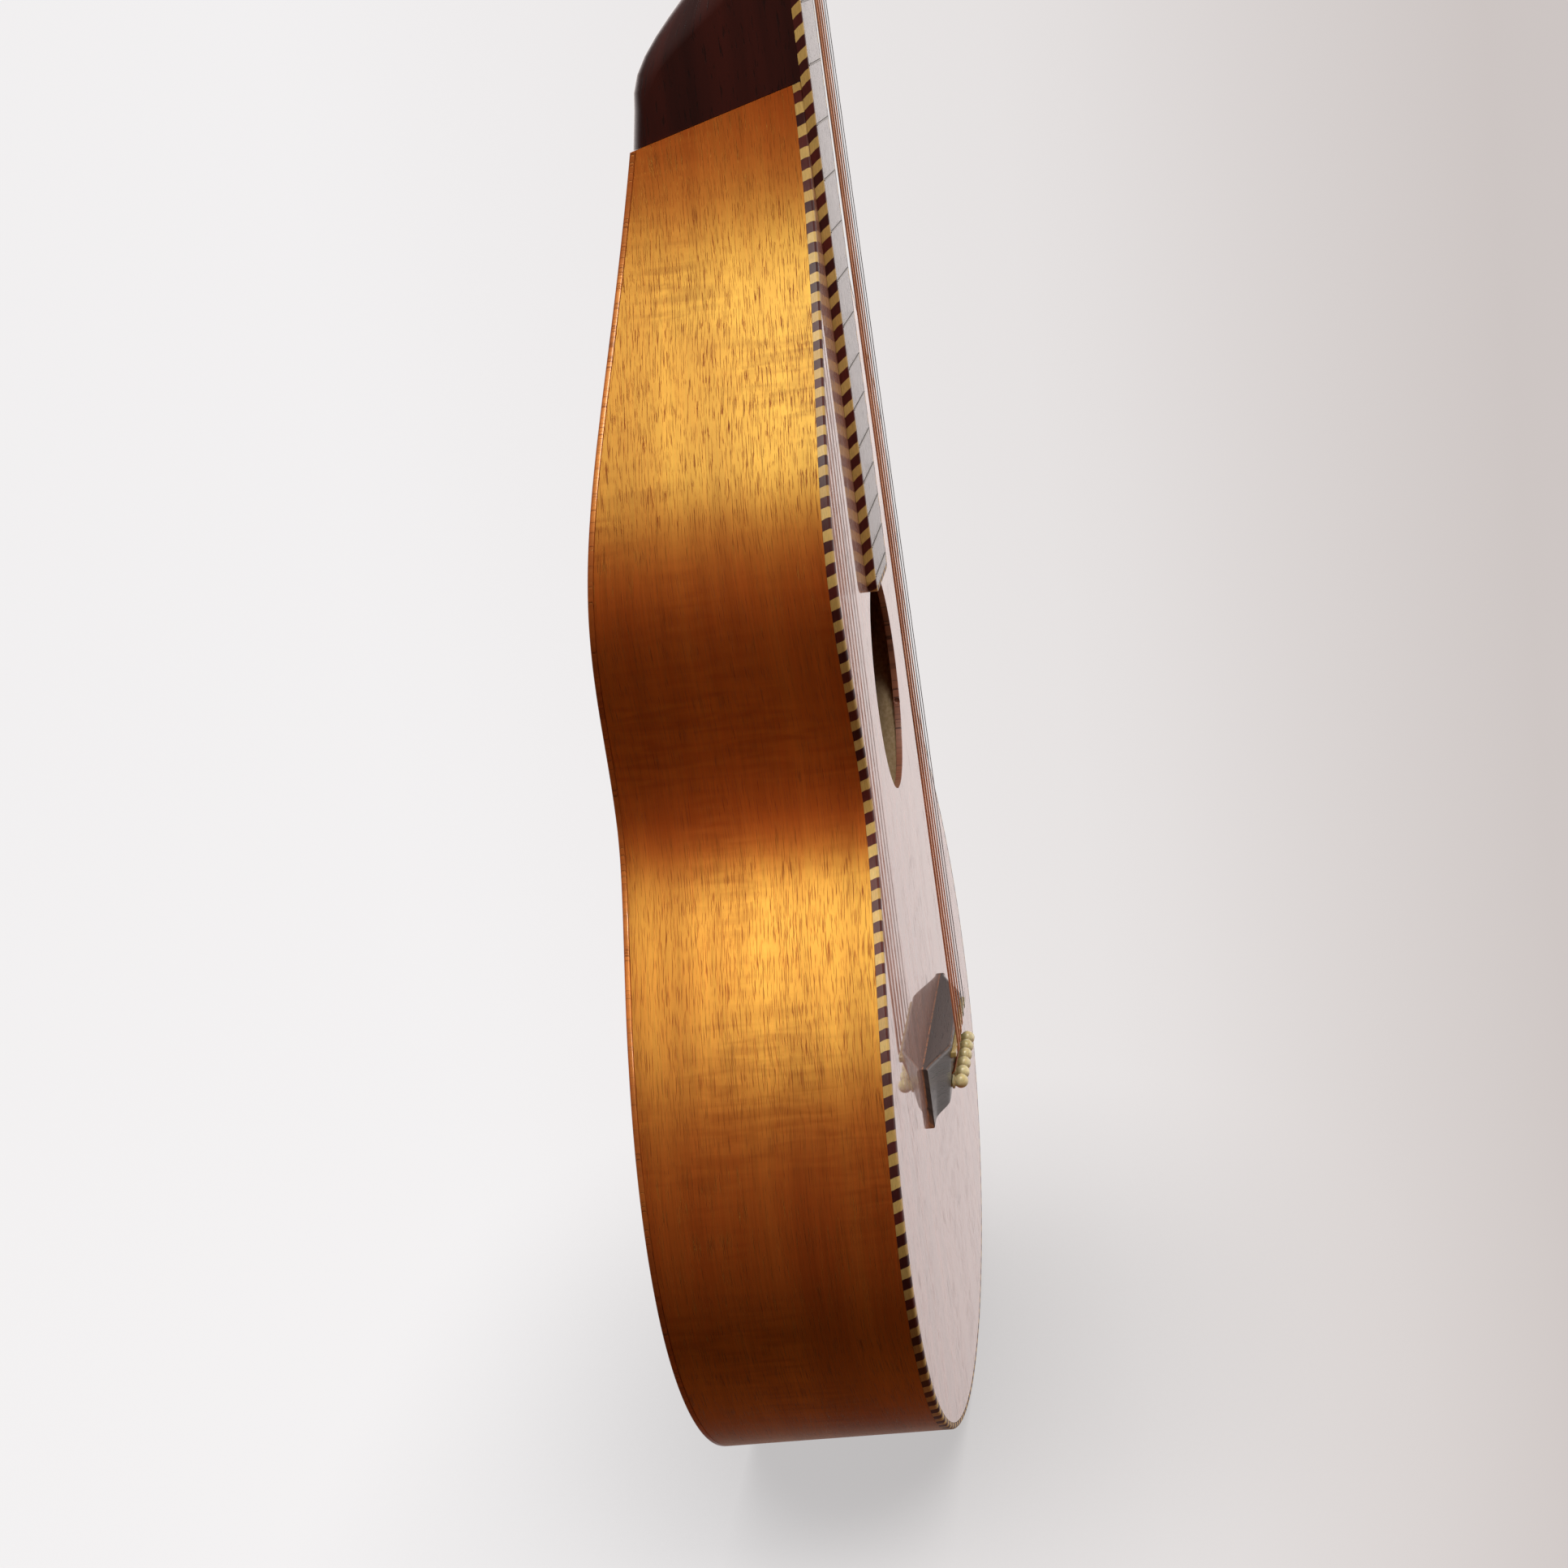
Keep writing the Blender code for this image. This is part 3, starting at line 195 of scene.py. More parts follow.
room = bpy.data.worlds.new("studio_room")
bpy.context.scene.world = room
room.use_nodes = True
tree = room.node_tree
toward = node(tree, "SeparateXYZ", Vector=node(tree, "TexCoord").outputs["Generated"])
past = maths(tree, "ADD", maths(tree, "MULTIPLY", toward.outputs["X"], 0.45), maths(tree, "MULTIPLY", toward.outputs["Y"], 0.22))
low = maths(tree, "MULTIPLY", maths(tree, "MINIMUM", toward.outputs["Z"], 0.0), 0.27)
high = maths(tree, "MULTIPLY", maths(tree, "MAXIMUM", toward.outputs["Z"], 0.0), -0.65)
level = maths(tree, "ADD", maths(tree, "ADD", past, 0.5), maths(tree, "ADD", low, high))
behind = ramp(tree, level, (0.46, 0.0), (0.60, (0.18, 0.165, 0.16)), (0.72, (0.60, 0.55, 0.54)),
              (0.80, (0.86, 0.78, 0.77)), (0.86, (0.98, 0.90, 0.88)), (0.92, (1.36, 1.26, 1.23)))
facing = maths(tree, "SUBTRACT", maths(tree, "MULTIPLY", toward.outputs["X"], 0.37),
               maths(tree, "MULTIPLY", toward.outputs["Y"], 0.93))
ahead = ramp(tree, facing, (0.70, 0.0), (0.95, (1.5, 1.4, 1.36)))
height = ramp(tree, maths(tree, "ADD", maths(tree, "MULTIPLY", toward.outputs["Z"], 0.5), 0.5),
              (0.0, (0.26, 0.09, 0.035)), (0.25, (0.05, 0.018, 0.009)), (0.46, (0.018, 0.009, 0.006)),
              (0.62, (0.03, 0.026, 0.022)), (0.9, 0.16))
lit = mixed(tree, 1.0, behind, mixed(tree, 1.0, ahead, height, "LIGHTEN"), "LIGHTEN")
tree.links.new(lit, tree.nodes["Background"].inputs["Color"])
tree.nodes["Background"].inputs["Strength"].default_value = 1.0


def lamp(name, kind, place, target, power, colour):
    bpy.ops.object.light_add(type=kind, location=place)
    made = bpy.context.object
    made.name = name
    made.data.energy = power
    made.data.color = colour
    made.rotation_euler = (Vector(target) - Vector(place)).to_track_quat("-Z", "Y").to_euler()
    return made


overhead = lamp("overhead_lamp", "AREA", (-0.50, -0.15, 1.7), (-0.12, 0, 0.35), 17, (1.0, 0.97, 0.92))
overhead.data.size = 0.55
waist_lamp = lamp("waist_lamp", "SPOT", (-0.91, -0.1, 1.25), (-0.13, 0, 0.255), 66, (1.0, 0.97, 0.92))
waist_lamp.data.spot_size = math.radians(6.5)
waist_lamp.data.spot_blend = 1.0
waist_lamp.data.shadow_soft_size = 0.06
bpy.context.scene.view_settings.view_transform = "Standard"


# Sides
# Two thin boards of golden koa bent to the outline, from a joint at the tail up to the heel. They stand
# between the binding and the back, are glued to linings inside, and have a satin lacquer gone warm with age.
def scaled(tree, vector, along, across):
    """Grain coordinates turned into features per metre along and across the grain."""
    return node(tree, "Mapping", Vector=vector, Scale=(along, across, 1)).outputs["Vector"]


def noise(tree, vector, detail=2.0, roughness=0.5, distortion=0.0):
    return node(tree, "TexNoise", Vector=vector, Scale=1.0, Detail=detail, Roughness=roughness,
                Distortion=distortion).outputs["Fac"]


def bump(tree, height, distance, strength=1.0):
    return node(tree, "Bump", Height=height, Distance=distance, Strength=strength).outputs["Normal"]


def grain_map(tree):
    return node(tree, "UVMap", {"uv_map": "grain"}).outputs["UV"]


def wandering(tree, grain, wander):
    """The grain coordinates with their lines made to wander sideways."""
    sway = maths(tree, "SUBTRACT", noise(tree, scaled(tree, grain, 6, 8)), 0.5)
    shift = node(tree, "CombineXYZ", Y=maths(tree, "MULTIPLY", sway, wander)).outputs["Vector"]
    moved = tree.nodes.new("ShaderNodeVectorMath")
    moved.operation = "ADD"
    tree.links.new(grain, moved.inputs[0])
    tree.links.new(shift, moved.inputs[1])
    return moved.outputs[0]


def pore_marks(tree, lines, along, across, start=0.60):
    """Fine open pores drawn out along the grain, denser in some stripes, as a mask of 0 to 1."""
    dashes = noise(tree, scaled(tree, lines, along, across), 2.0, 0.6)
    stripes = maths(tree, "MULTIPLY", noise(tree, scaled(tree, lines, 9, 130)), 0.10)
    return ramp(tree, maths(tree, "ADD", dashes, stripes), (start + 0.04, 0.0), (start + 0.11, 1.0))


def koa(name, dark, middle, light, gold, pore, curl_depth, coat, coat_roughness):
    """Koa under lacquer: a red-brown body colour, with a golden sheen from the fibres that curl breaks up."""
    made, tree, shader = new_material(name, 0.40, 0.0, coat, coat_roughness)
    grain = grain_map(tree)
    lines = wandering(tree, grain, 0.010)
    streaks = noise(tree, scaled(tree, lines, 2.2, 48), 4.0, 0.62)
    colour = ramp(tree, streaks, (0.28, dark), (0.5, middle), (0.70, light))
    fine = ramp(tree, noise(tree, scaled(tree, lines, 25, 1200)), (0.3, 0.78), (0.7, 1.0))
    colour = mixed(tree, 1.0, colour, fine, "MULTIPLY")
    ripple = noise(tree, scaled(tree, grain, 240, 34), 2.0, 0.5, 0.5)
    patches = ramp(tree, noise(tree, scaled(tree, grain, 12, 14), 2.0), (0.46, 0.12), (0.60, 1.0))
    curl = mixed(tree, patches, (1, 1, 1), ramp(tree, ripple, (0.36, 1.0 - curl_depth), (0.60, 1.0)))
    blotches = ramp(tree, noise(tree, scaled(tree, grain, 24, 34), 3.0, 0.6), (0.3, 0.80), (0.7, 1.0))
    pores = pore_marks(tree, lines, 80, 2900, 0.59)
    colour = mixed(tree, maths(tree, "MULTIPLY", pores, 0.6), mixed(tree, 0.6, colour, curl, "MULTIPLY"), pore)
    sheen = mixed(tree, 1.0, mixed(tree, 1.0, curl, blotches, "MULTIPLY"), gold, "MULTIPLY")
    sheen = mixed(tree, 1.0, sheen, ramp(tree, streaks, (0.28, 0.66), (0.68, 1.0)), "MULTIPLY")
    sheen = mixed(tree, maths(tree, "MULTIPLY", pores, 0.5), sheen, pore)
    tree.links.new(colour, shader.inputs["Base Color"])
    tree.links.new(sheen, shader.inputs["Specular Tint"])
    shader.inputs["IOR"].default_value = 2.6
    depth = maths(tree, "MULTIPLY", ripple, node(tree, "SeparateColor", Color=patches).outputs[0])
    relief = maths(tree, "SUBTRACT", maths(tree, "MULTIPLY", depth, 0.5), pores)
    tree.links.new(bump(tree, relief, 0.00010, 0.8), shader.inputs["Normal"])
    return made


def line_through(knots, steps):
    """A smooth line through (x, z) knots in millimetres, each with a handle before and one after it."""
    points = []
    for (start, _, leave), (end, arrive, _) in zip(knots, knots[1:]):
        flat = [Vector((x * MM, z * MM, 0)) for x, z in (start, leave, arrive, end)]
        points += [Vector((p.x, p.y)) for p in interpolate_bezier(*flat, steps)[:-1]]
    end = knots[-1][0]
    return points + [Vector((end[0] * MM, end[1] * MM))]


def lengths_along(points):
    made = [0.0]
    for a, b in zip(points, points[1:]):
        made.append(made[-1] + (b - a).length)
    return made


def evenly(points, count):
    """The same line in equal steps."""
    lengths = lengths_along(points)
    made, i = [], 0
    for k in range(count + 1):
        wanted = lengths[-1] * k / count
        while i < len(points) - 2 and lengths[i + 1] < wanted:
            i += 1
        share = (wanted - lengths[i]) / (lengths[i + 1] - lengths[i])
        made.append(points[i].lerp(points[i + 1], share))
    return made


def inward(points, i):
    """The direction square to a line at one of its points, towards the inside of the outline."""
    if abs(points[i].x) < 1e-7:
        return Vector((0, 1))
    along = (points[min(i + 1, len(points) - 1)] - points[max(i - 1, 0)]).normalized()
    return Vector((-along.y, along.x))


def inset(points, distance):
    return [point + distance * inward(points, i) for i, point in enumerate(points)]


def map_grain(obj, chart):
    """Fills the grain map from a function of a vertex's index and place."""
    layers = obj.data.uv_layers
    layer = layers[0] if layers else layers.new()
    layer.name = "grain"
    for loop in obj.data.loops:
        layer.data[loop.index].uv = chart(loop.vertex_index, obj.data.vertices[loop.vertex_index].co)


def close_ends(obj):
    """Faces over the open ends of a tube."""
    edit(obj)
    bpy.ops.mesh.select_all(action="DESELECT")
    bpy.ops.mesh.select_non_manifold()
    bpy.ops.mesh.fill_holes(sides=0)
    bpy.ops.mesh.select_all(action="SELECT")
    bpy.ops.mesh.normals_make_consistent(inside=False)
    leave_edit()


def loft(columns, rings):
    """A closed tube through equal rings of points: a grid rolled up, mapped along and round it."""
    rows = len(rings[0])
    bpy.ops.mesh.primitive_grid_add(x_subdivisions=len(rings) - 1, y_subdivisions=rows, size=1)
    obj = bpy.context.object
    around = [lengths_along(ring + ring[:1]) for ring in rings]
    charts = []
    for vertex in obj.data.vertices:
        i = round((vertex.co.x + 0.5) * (len(rings) - 1))
        j = round((vertex.co.y + 0.5) * rows)
        vertex.co = rings[i][j % rows]
        charts.append((columns[i], around[i][j]))
    map_grain(obj, lambda index, place: charts[index])
    edit(obj)
    bpy.ops.mesh.remove_doubles(threshold=1e-6)
    leave_edit()
    close_ends(obj)
    return obj


def band(line, section):
    """A wall along a flat line; section(z) gives the (inset, y) points of its ring at a height."""
    rings = []
    for i, point in enumerate(line):
        square = inward(line, i)
        spots = [(point + depth * square, y) for depth, y in section(point.y)]
        rings.append([Vector((spot.x, y, spot.y)) for spot, y in spots])
    return loft(lengths_along(line), rings)


def slice_across(obj, place, square):
    """Adds edges where a plane crosses the piece."""
    edit(obj)
    bpy.ops.mesh.bisect(plane_co=place, plane_no=square)
    leave_edit()


def cut(obj, place, square):
    """Removes what lies past a plane, and closes the piece there."""
    edit(obj)
    bpy.ops.mesh.bisect(plane_co=place, plane_no=square, use_fill=True, clear_outer=True)
    leave_edit()


def finish_piece(obj, name, material, body="guitar", replaces=(), angle=35):
    obj.name = obj.data.name = name
    obj.data.materials.clear()
    obj.data.materials.append(material)
    smooth_by_angle(obj, angle)
    apply_modifier(obj, "WEIGHTED_NORMAL", keep_sharp=True)
    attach(obj, body)
    if replaces:
        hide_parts(*replaces)
    return obj


BODY_KNOTS = (
    ((0, 0), None, (108, 0)),
    ((197, 131), (197, 56), (197, 213)),
    ((114, 302), (114, 258), (114, 332)),
    ((133, 388), (133, 358), (133, 450)),
    ((26, 586), (26, 491), None),
)
FRONT = -50 * MM
HAIR = 0.05 * MM
SIDE_WALL = 2.6 * MM
ROPE_DEPTH = 3.6 * MM
BACK_THICK = 2.6 * MM
END_PLACE = Vector((0, FRONT, 580 * MM))
END_SQUARE = Vector((0, 19, 73)).normalized()

half_line = evenly(line_through(BODY_KNOTS, 60), 330)
body_line = [Vector((-p.x, p.y)) for p in reversed(half_line[1:])] + half_line


def back_depth(z):
    """How far the back's outer face lies behind the front of the soundboard."""
    bend, radius = 221 * MM, 1400 * MM
    past = max(z - bend, 0)
    return 98 * MM + 6.5 * MM * z / bend - past * past / (2 * radius)


def side_section(z):
    front, back = FRONT + ROPE_DEPTH + HAIR, FRONT + back_depth(z) - BACK_THICK - HAIR
    return [(0, front), (0, back), (SIDE_WALL, back), (SIDE_WALL, front)]


side_koa = koa("satin_koa", (0.40, 0.058, 0.010), (0.52, 0.085, 0.013), (0.62, 0.125, 0.019), (1.0, 0.76, 0.12),
               (0.16, 0.035, 0.008), 0.30, 0.06, 0.30)
treble_line = [Vector((HAIR, 0))] + half_line[1:]
bass_line = [Vector((-p.x, p.y)) for p in reversed(treble_line)]
for label, line in (("treble", treble_line), ("bass", bass_line)):
    side = band(line, side_section)
    cut(side, END_PLACE, END_SQUARE)
    finish_piece(side, f"koa_side_{label}", side_koa, replaces=[f"side_{label}"])


# Blocks and linings
# Inside, a mahogany block holds each end of the body, and kerfed strips of spruce run round
# the edges of the soundboard and the back. All of it is bare wood.
def bare_wood(name, dark, light, along, scale, roughness):
    """Bare wood on the piece's own coordinates, with its grain along one axis."""
    made, tree, shader = new_material(name, roughness)
    place = node(tree, "TexCoord").outputs["Object"]
    stretch = [scale * (0.04 if axis == along else 1.0) for axis in "XYZ"]
    years = noise(tree, node(tree, "Mapping", Vector=place, Scale=stretch).outputs["Vector"], 4.0, 0.6)
    tree.links.new(ramp(tree, years, (0.35, dark), (0.65, light)), shader.inputs["Base Color"])
    tree.links.new(bump(tree, years, 0.0001), shader.inputs["Normal"])
    return made


def finish_nodes(material, *names):
    for name in names:
        nodes[name].data.materials.clear()
        nodes[name].data.materials.append(material)


finish_nodes(bare_wood("bare_mahogany", (0.20, 0.075, 0.035), (0.32, 0.13, 0.06), "Z", 900, 0.75),
             "tail_block", "neck_block")
finish_nodes(bare_wood("bare_spruce", (0.52, 0.34, 0.17), (0.70, 0.50, 0.28), "Z", 700, 0.8),
             "top_lining_bass", "top_lining_treble", "back_lining_bass", "back_lining_treble")


# Soundboard
# Two book-matched leaves of redder koa, glued down the middle and lacquered to a high gloss,
# with one plain round hole. The hole's edge has a small old chip on its treble side.
def plate(outline, front, back):
    """A flat plate with an (x, z) outline, from one depth to another."""
    bpy.ops.mesh.primitive_circle_add(vertices=len(outline), radius=1, fill_type="NGON")
    obj = bpy.context.object
    for vertex, point in zip(obj.data.vertices, outline):
        vertex.co = (point[0], front, point[1])
    edit(obj)
    bpy.ops.mesh.extrude_region_move(TRANSFORM_OT_translate={"value": (0, back - front, 0)})
    bpy.ops.mesh.select_all(action="SELECT")
    bpy.ops.mesh.normals_make_consistent(inside=False)
    leave_edit()
    return obj


def place_in_mesh(obj, place=None):
    if place is not None:
        obj.matrix_world = place
    select_only(obj)
    bpy.ops.object.transform_apply(location=True, rotation=True, scale=True)


def rod(radius, start, end, sides=64):
    start, end = Vector(start), Vector(end)
    bpy.ops.mesh.primitive_cylinder_add(vertices=sides, radius=radius, depth=(end - start).length,
                                        location=(start + end) / 2,
                                        rotation=(end - start).to_track_quat("Z", "Y").to_euler())
    obj = bpy.context.object
    place_in_mesh(obj)
    return obj


def block(centre, size):
    bpy.ops.mesh.primitive_cube_add(size=1, location=centre)
    obj = bpy.context.object
    obj.scale = size
    place_in_mesh(obj)
    return obj


def combine(obj, other, operation="DIFFERENCE"):
    apply_modifier(obj, "BOOLEAN", object=other, operation=operation, solver="EXACT")
    bpy.data.objects.remove(other, do_unlink=True)


def ease_edges(obj, width, segments=2, angle=50):
    apply_modifier(obj, "BEVEL", width=width, segments=segments, limit_method="ANGLE",
                   angle_limit=math.radians(angle))


TOP_THICK = 2.8 * MM
HOLE_Z, HOLE_RADIUS = 323 * MM, 47 * MM
soundboard = plate(inset(body_line, SIDE_WALL + HAIR), FRONT, FRONT + TOP_THICK)
slice_across(soundboard, (0, 0, 0), (1, 0, 0))
combine(soundboard, rod(HOLE_RADIUS, (0, FRONT - 0.02, HOLE_Z), (0, FRONT + 0.02, HOLE_Z), 144))
cut(soundboard, END_PLACE, END_SQUARE)
ease_edges(soundboard, 0.3 * MM, 2, 60)
chip_at = math.radians(-25)
bpy.ops.mesh.primitive_ico_sphere_add(subdivisions=3, radius=1.0 * MM, location=(
    (HOLE_RADIUS - 0.2 * MM) * math.cos(chip_at), FRONT + 1.2 * MM, HOLE_Z + HOLE_RADIUS * math.sin(chip_at)))
chip = bpy.context.object
chip.scale = (0.9, 1.6, 1.7)
place_in_mesh(chip)
combine(soundboard, chip)
map_grain(soundboard, lambda index, place: (place.z, abs(place.x) + 0.4))

front_koa, tree, shader = new_material("gloss_koa", 0.45, 0.0, 1.0, 0.02)
grain = grain_map(tree)
lines = wandering(tree, grain, 0.008)
colour = ramp(tree, noise(tree, scaled(tree, lines, 2.0, 50), 4.0, 0.62),
              (0.28, (0.42, 0.145, 0.080)), (0.5, (0.58, 0.215, 0.120)), (0.72, (0.68, 0.28, 0.165)))
fine = ramp(tree, noise(tree, scaled(tree, lines, 30, 1300)), (0.3, 0.72), (0.7, 1.0))
colour = mixed(tree, 1.0, colour, fine, "MULTIPLY")
ripple = noise(tree, scaled(tree, grain, 110, 18), 2.0, 0.5, 0.4)
colour = mixed(tree, 1.0, colour, ramp(tree, ripple, (0.35, 0.86), (0.62, 1.0)), "MULTIPLY")
pores = pore_marks(tree, lines, 90, 1300, 0.58)
colour = mixed(tree, maths(tree, "MULTIPLY", pores, 0.85), colour, (0.06, 0.016, 0.010))
tree.links.new(colour, shader.inputs["Base Color"])
tree.links.new(bump(tree, pores, -0.00005), shader.inputs["Normal"])
bare = ramp(tree, noise(tree, scaled(tree, lines, 5, 38), 3.0, 0.6), (0.42, 0.0), (0.60, 1.0))
open_pores = maths(tree, "MULTIPLY", pores, bare)
tree.links.new(maths(tree, "SUBTRACT", 1.0, maths(tree, "MULTIPLY", open_pores, 0.7)), shader.inputs["Coat Weight"])
tree.links.new(bump(tree, open_pores, -0.00003, 0.5), shader.inputs["Coat Normal"])
finish_piece(soundboard, "koa_soundboard", front_koa, replaces=["soundboard"])


# Braces and bridge plate
# Spruce bars under the soundboard, crossed below the hole, and four across the back. A thin plate
# of hard rosewood under the bridge takes the ball ends of the strings.
finish_nodes(bare_wood("brace_spruce", (0.55, 0.37, 0.19), (0.72, 0.53, 0.30), "X", 700, 0.8),
             "x_brace_bass_up", "x_brace_treble_up", "transverse_brace", "tone_bar",
             "back_brace_1", "back_brace_2", "back_brace_3", "back_brace_4")
finish_nodes(bare_wood("bare_rosewood", (0.05, 0.02, 0.012), (0.13, 0.05, 0.03), "X", 1100, 0.6), "bridge_plate")


# Back
# Two book-matched leaves of koa, flat across and arched along their length from above the lower bout
# up to the heel. Their edge is left without binding and is eased by hand.
back = plate(body_line, 0, BACK_THICK - 0.02 * MM)
ease_edges(back, 0.7 * MM, 3, 60)
slice_across(back, (0, 0, 0), (1, 0, 0))
for step in range(46):
    slice_across(back, (0, 0, (221 + 8 * step) * MM), (0, 0, 1))
for vertex in back.data.vertices:
    vertex.co.y += FRONT + back_depth(vertex.co.z) - BACK_THICK
cut(back, END_PLACE, END_SQUARE)
map_grain(back, lambda index, place: (place.z + 0.7, abs(place.x) + 0.9))
back_koa = koa("lacquered_koa", (0.34, 0.06, 0.012), (0.48, 0.10, 0.018), (0.60, 0.15, 0.026), (1.0, 0.50, 0.13),
               (0.10, 0.028, 0.008), 0.45, 0.3, 0.12)
finish_piece(back, "koa_back", back_koa, replaces=["back"], angle=25)


# Rope binding
# Short blocks of pale and dark wood, cut on a slant and laid end to end round the soundboard's edge,
# let into a ledge of the side. The outer corner is rounded and carries the body's lacquer.
def rope_wood(name, period, slant, curve, start, width):
    """Blocks along the map; their borders lean and bend over the shown width past the start."""
    made, tree, shader = new_material(name, 0.5, 0.0, 0.1, 0.3)
    shader.inputs["Specular IOR Level"].default_value = 0.3
    grain = grain_map(tree)
    parts = node(tree, "SeparateXYZ", Vector=grain)
    across = maths(tree, "DIVIDE", maths(tree, "SUBTRACT", parts.outputs["Y"], start), width)
    bend = maths(tree, "MULTIPLY", maths(tree, "MULTIPLY", across, maths(tree, "SUBTRACT", 1.0, across)), curve)
    lean = maths(tree, "SUBTRACT", maths(tree, "MULTIPLY", across, slant), bend)
    wobble = maths(tree, "MULTIPLY", noise(tree, scaled(tree, grain, 90, 300), 1.0), 0.08)
    count = maths(tree, "DIVIDE", parts.outputs["X"], period)
    turn = maths(tree, "ADD", maths(tree, "SUBTRACT", count, lean), wobble)
    dark_share = ramp(tree, maths(tree, "FRACT", turn), (0.0, 0.0), (0.012, 1.0), (0.505, 1.0), (0.52, 0.0))
    own = node(tree, "TexWhiteNoise", {"noise_dimensions": "1D"},
               W=maths(tree, "FLOOR", maths(tree, "MULTIPLY", turn, 2.0))).outputs["Value"]
    fine = noise(tree, scaled(tree, grain, 350, 2200), 3.0, 0.6)
    pale = mixed(tree, own, (0.62, 0.37, 0.10), (0.80, 0.53, 0.17))
    pale = mixed(tree, 1.0, pale, ramp(tree, fine, (0.3, 0.74), (0.7, 1.0)), "MULTIPLY")
    dark = mixed(tree, own, (0.055, 0.008, 0.007), (0.13, 0.018, 0.012))
    dark = mixed(tree, 1.0, dark, ramp(tree, fine, (0.3, 0.6), (0.7, 1.0)), "MULTIPLY")
    tree.links.new(mixed(tree, dark_share, pale, dark), shader.inputs["Base Color"])
    tree.links.new(bump(tree, fine, 0.00003), shader.inputs["Normal"])
    return made


def round_corner(radius, steps):
    """Points of a quarter circle as (inset, depth), from the front face to the outer face."""
    turns = [math.radians(90 * i / steps) for i in range(steps + 1)]
    return [(radius * (1 - math.sin(a)), radius * (1 - math.cos(a))) for a in turns]


def rope_section(z):
    ring = [(SIDE_WALL, ROPE_DEPTH), (SIDE_WALL, 0)] + round_corner(1.3 * MM, 6) + [(0, ROPE_DEPTH)]
    return [(depth, FRONT + y) for depth, y in ring]


rope = band(body_line, rope_section)
cut(rope, END_PLACE, END_SQUARE)
finish_piece(rope, "rope_binding_blocks", rope_wood("body_rope", 9.0 * MM, 0.17, 0.10, ROPE_DEPTH, 5.6 * MM),
             replaces=["rope_binding"], angle=40)


# Neck
# One piece of dark red mahogany, its colour darkened further by painted shade: a squared heel against the body,
# swept into a rounded shaft, and a headstock set back by 12 degrees with six holes for the tuners. High-gloss lacquer.
def smoothstep(value):
    t = min(max(value, 0), 1)
    return t * t * (3 - 2 * t)


def board_half_width(z):
    return (28 - 3.75 * (z / MM - 367) / 430) * MM


def neck_depth(z):
    """Depth of the neck behind the fretboard's seat."""
    if z <= 580 * MM:
        return 70 * MM + 0.17 * (580 * MM - z)
    shaft = (21 - 2.5 * min((z - 580 * MM) / (217 * MM), 1)) * MM
    return shaft + (70 * MM - shaft) * (1 - smoothstep((z - 580 * MM) / (78 * MM)))


def neck_ring(half, depth, heel, place, sides=40):
    """A flat-topped ring, rounded like a neck or squared like a heel."""
    points = [(half - 0.4 * MM, 0), (-half + 0.4 * MM, 0)]
    square = 8 * MM
    for i in range(1, sides):
        angle = math.pi * i / sides
        side = 0 if 2 * i == sides else -math.copysign(1, math.cos(angle))
        across, down = abs(math.cos(angle)), math.sin(angle)
        boxy = (half - square * (1 - across), depth - square * (1 - down))
        rounded = (half * across ** (2 / 2.3), depth * down ** (2 / 2.3))
        x, y = (n + (c - n) * heel for n, c in zip(rounded, boxy))
        points.append((side * x, y))
    return [place @ Vector((x, y, 0)) for x, y in points]


HEAD = Matrix.Translation((0, FRONT, 803.6 * MM)) @ Matrix.Rotation(math.radians(-12), 4, "X")
HEAD_THICK = 16 * MM
POST_X = 21 * MM
POSTS = [(1, 1, 40), (2, 1, 78), (3, 1, 116), (4, -1, 116), (5, -1, 78), (6, -1, 40)]

stations = [549 * MM + 7 * MM * i for i in range(16)] + [661 * MM + 17 * MM * i for i in range(9)]
rings = []
for z in stations:
    heel = 1 - smoothstep((z - 580 * MM) / (78 * MM))
    rings.append(neck_ring(board_half_width(z), neck_depth(z), heel, Matrix.Translation((0, FRONT, z))))
for along in (0, 6 * MM, 12 * MM):
    inside = HEAD @ Matrix.Translation((0, 0.025 * along, along))
    rings.append(neck_ring(24.25 * MM, HEAD_THICK - 0.05 * along, 0.3, inside))
neck = loft([ring[0].z for ring in rings], rings)
crown = line_through((((-37, 142), None, (-35, 156)), ((0, 158), (-14, 146), None)), 14)
head_line = [Vector((x * MM, z * MM)) for x, z in ((-25, 5), (-29, 17), (-37, 142))] + crown[1:]
head_line += [Vector((-p.x, p.y)) for p in reversed(head_line[:-1])]
headstock = plate(head_line, 0, HEAD_THICK)
ease_edges(headstock, 1.0 * MM, 3, 40)
place_in_mesh(headstock, HEAD)
combine(neck, headstock, "UNION")
for number, side, along in POSTS:
    ends = [HEAD @ Vector((side * POST_X, depth, along * MM)) for depth in (-5 * MM, 25 * MM)]
    combine(neck, rod(3.5 * MM, *ends, sides=32))
cut(neck, END_PLACE + Vector((0, 0, 0.2 * MM)), -END_SQUARE)
map_grain(neck, lambda index, place: (place.z, place.x + 0.6 * place.y + 0.3))

gloss_mahogany_painted_shade, tree, shader = new_material("gloss_mahogany_painted_shade", 0.4, 0.0, 1.0, 0.05)
grain = grain_map(tree)
lines = wandering(tree, grain, 0.006)
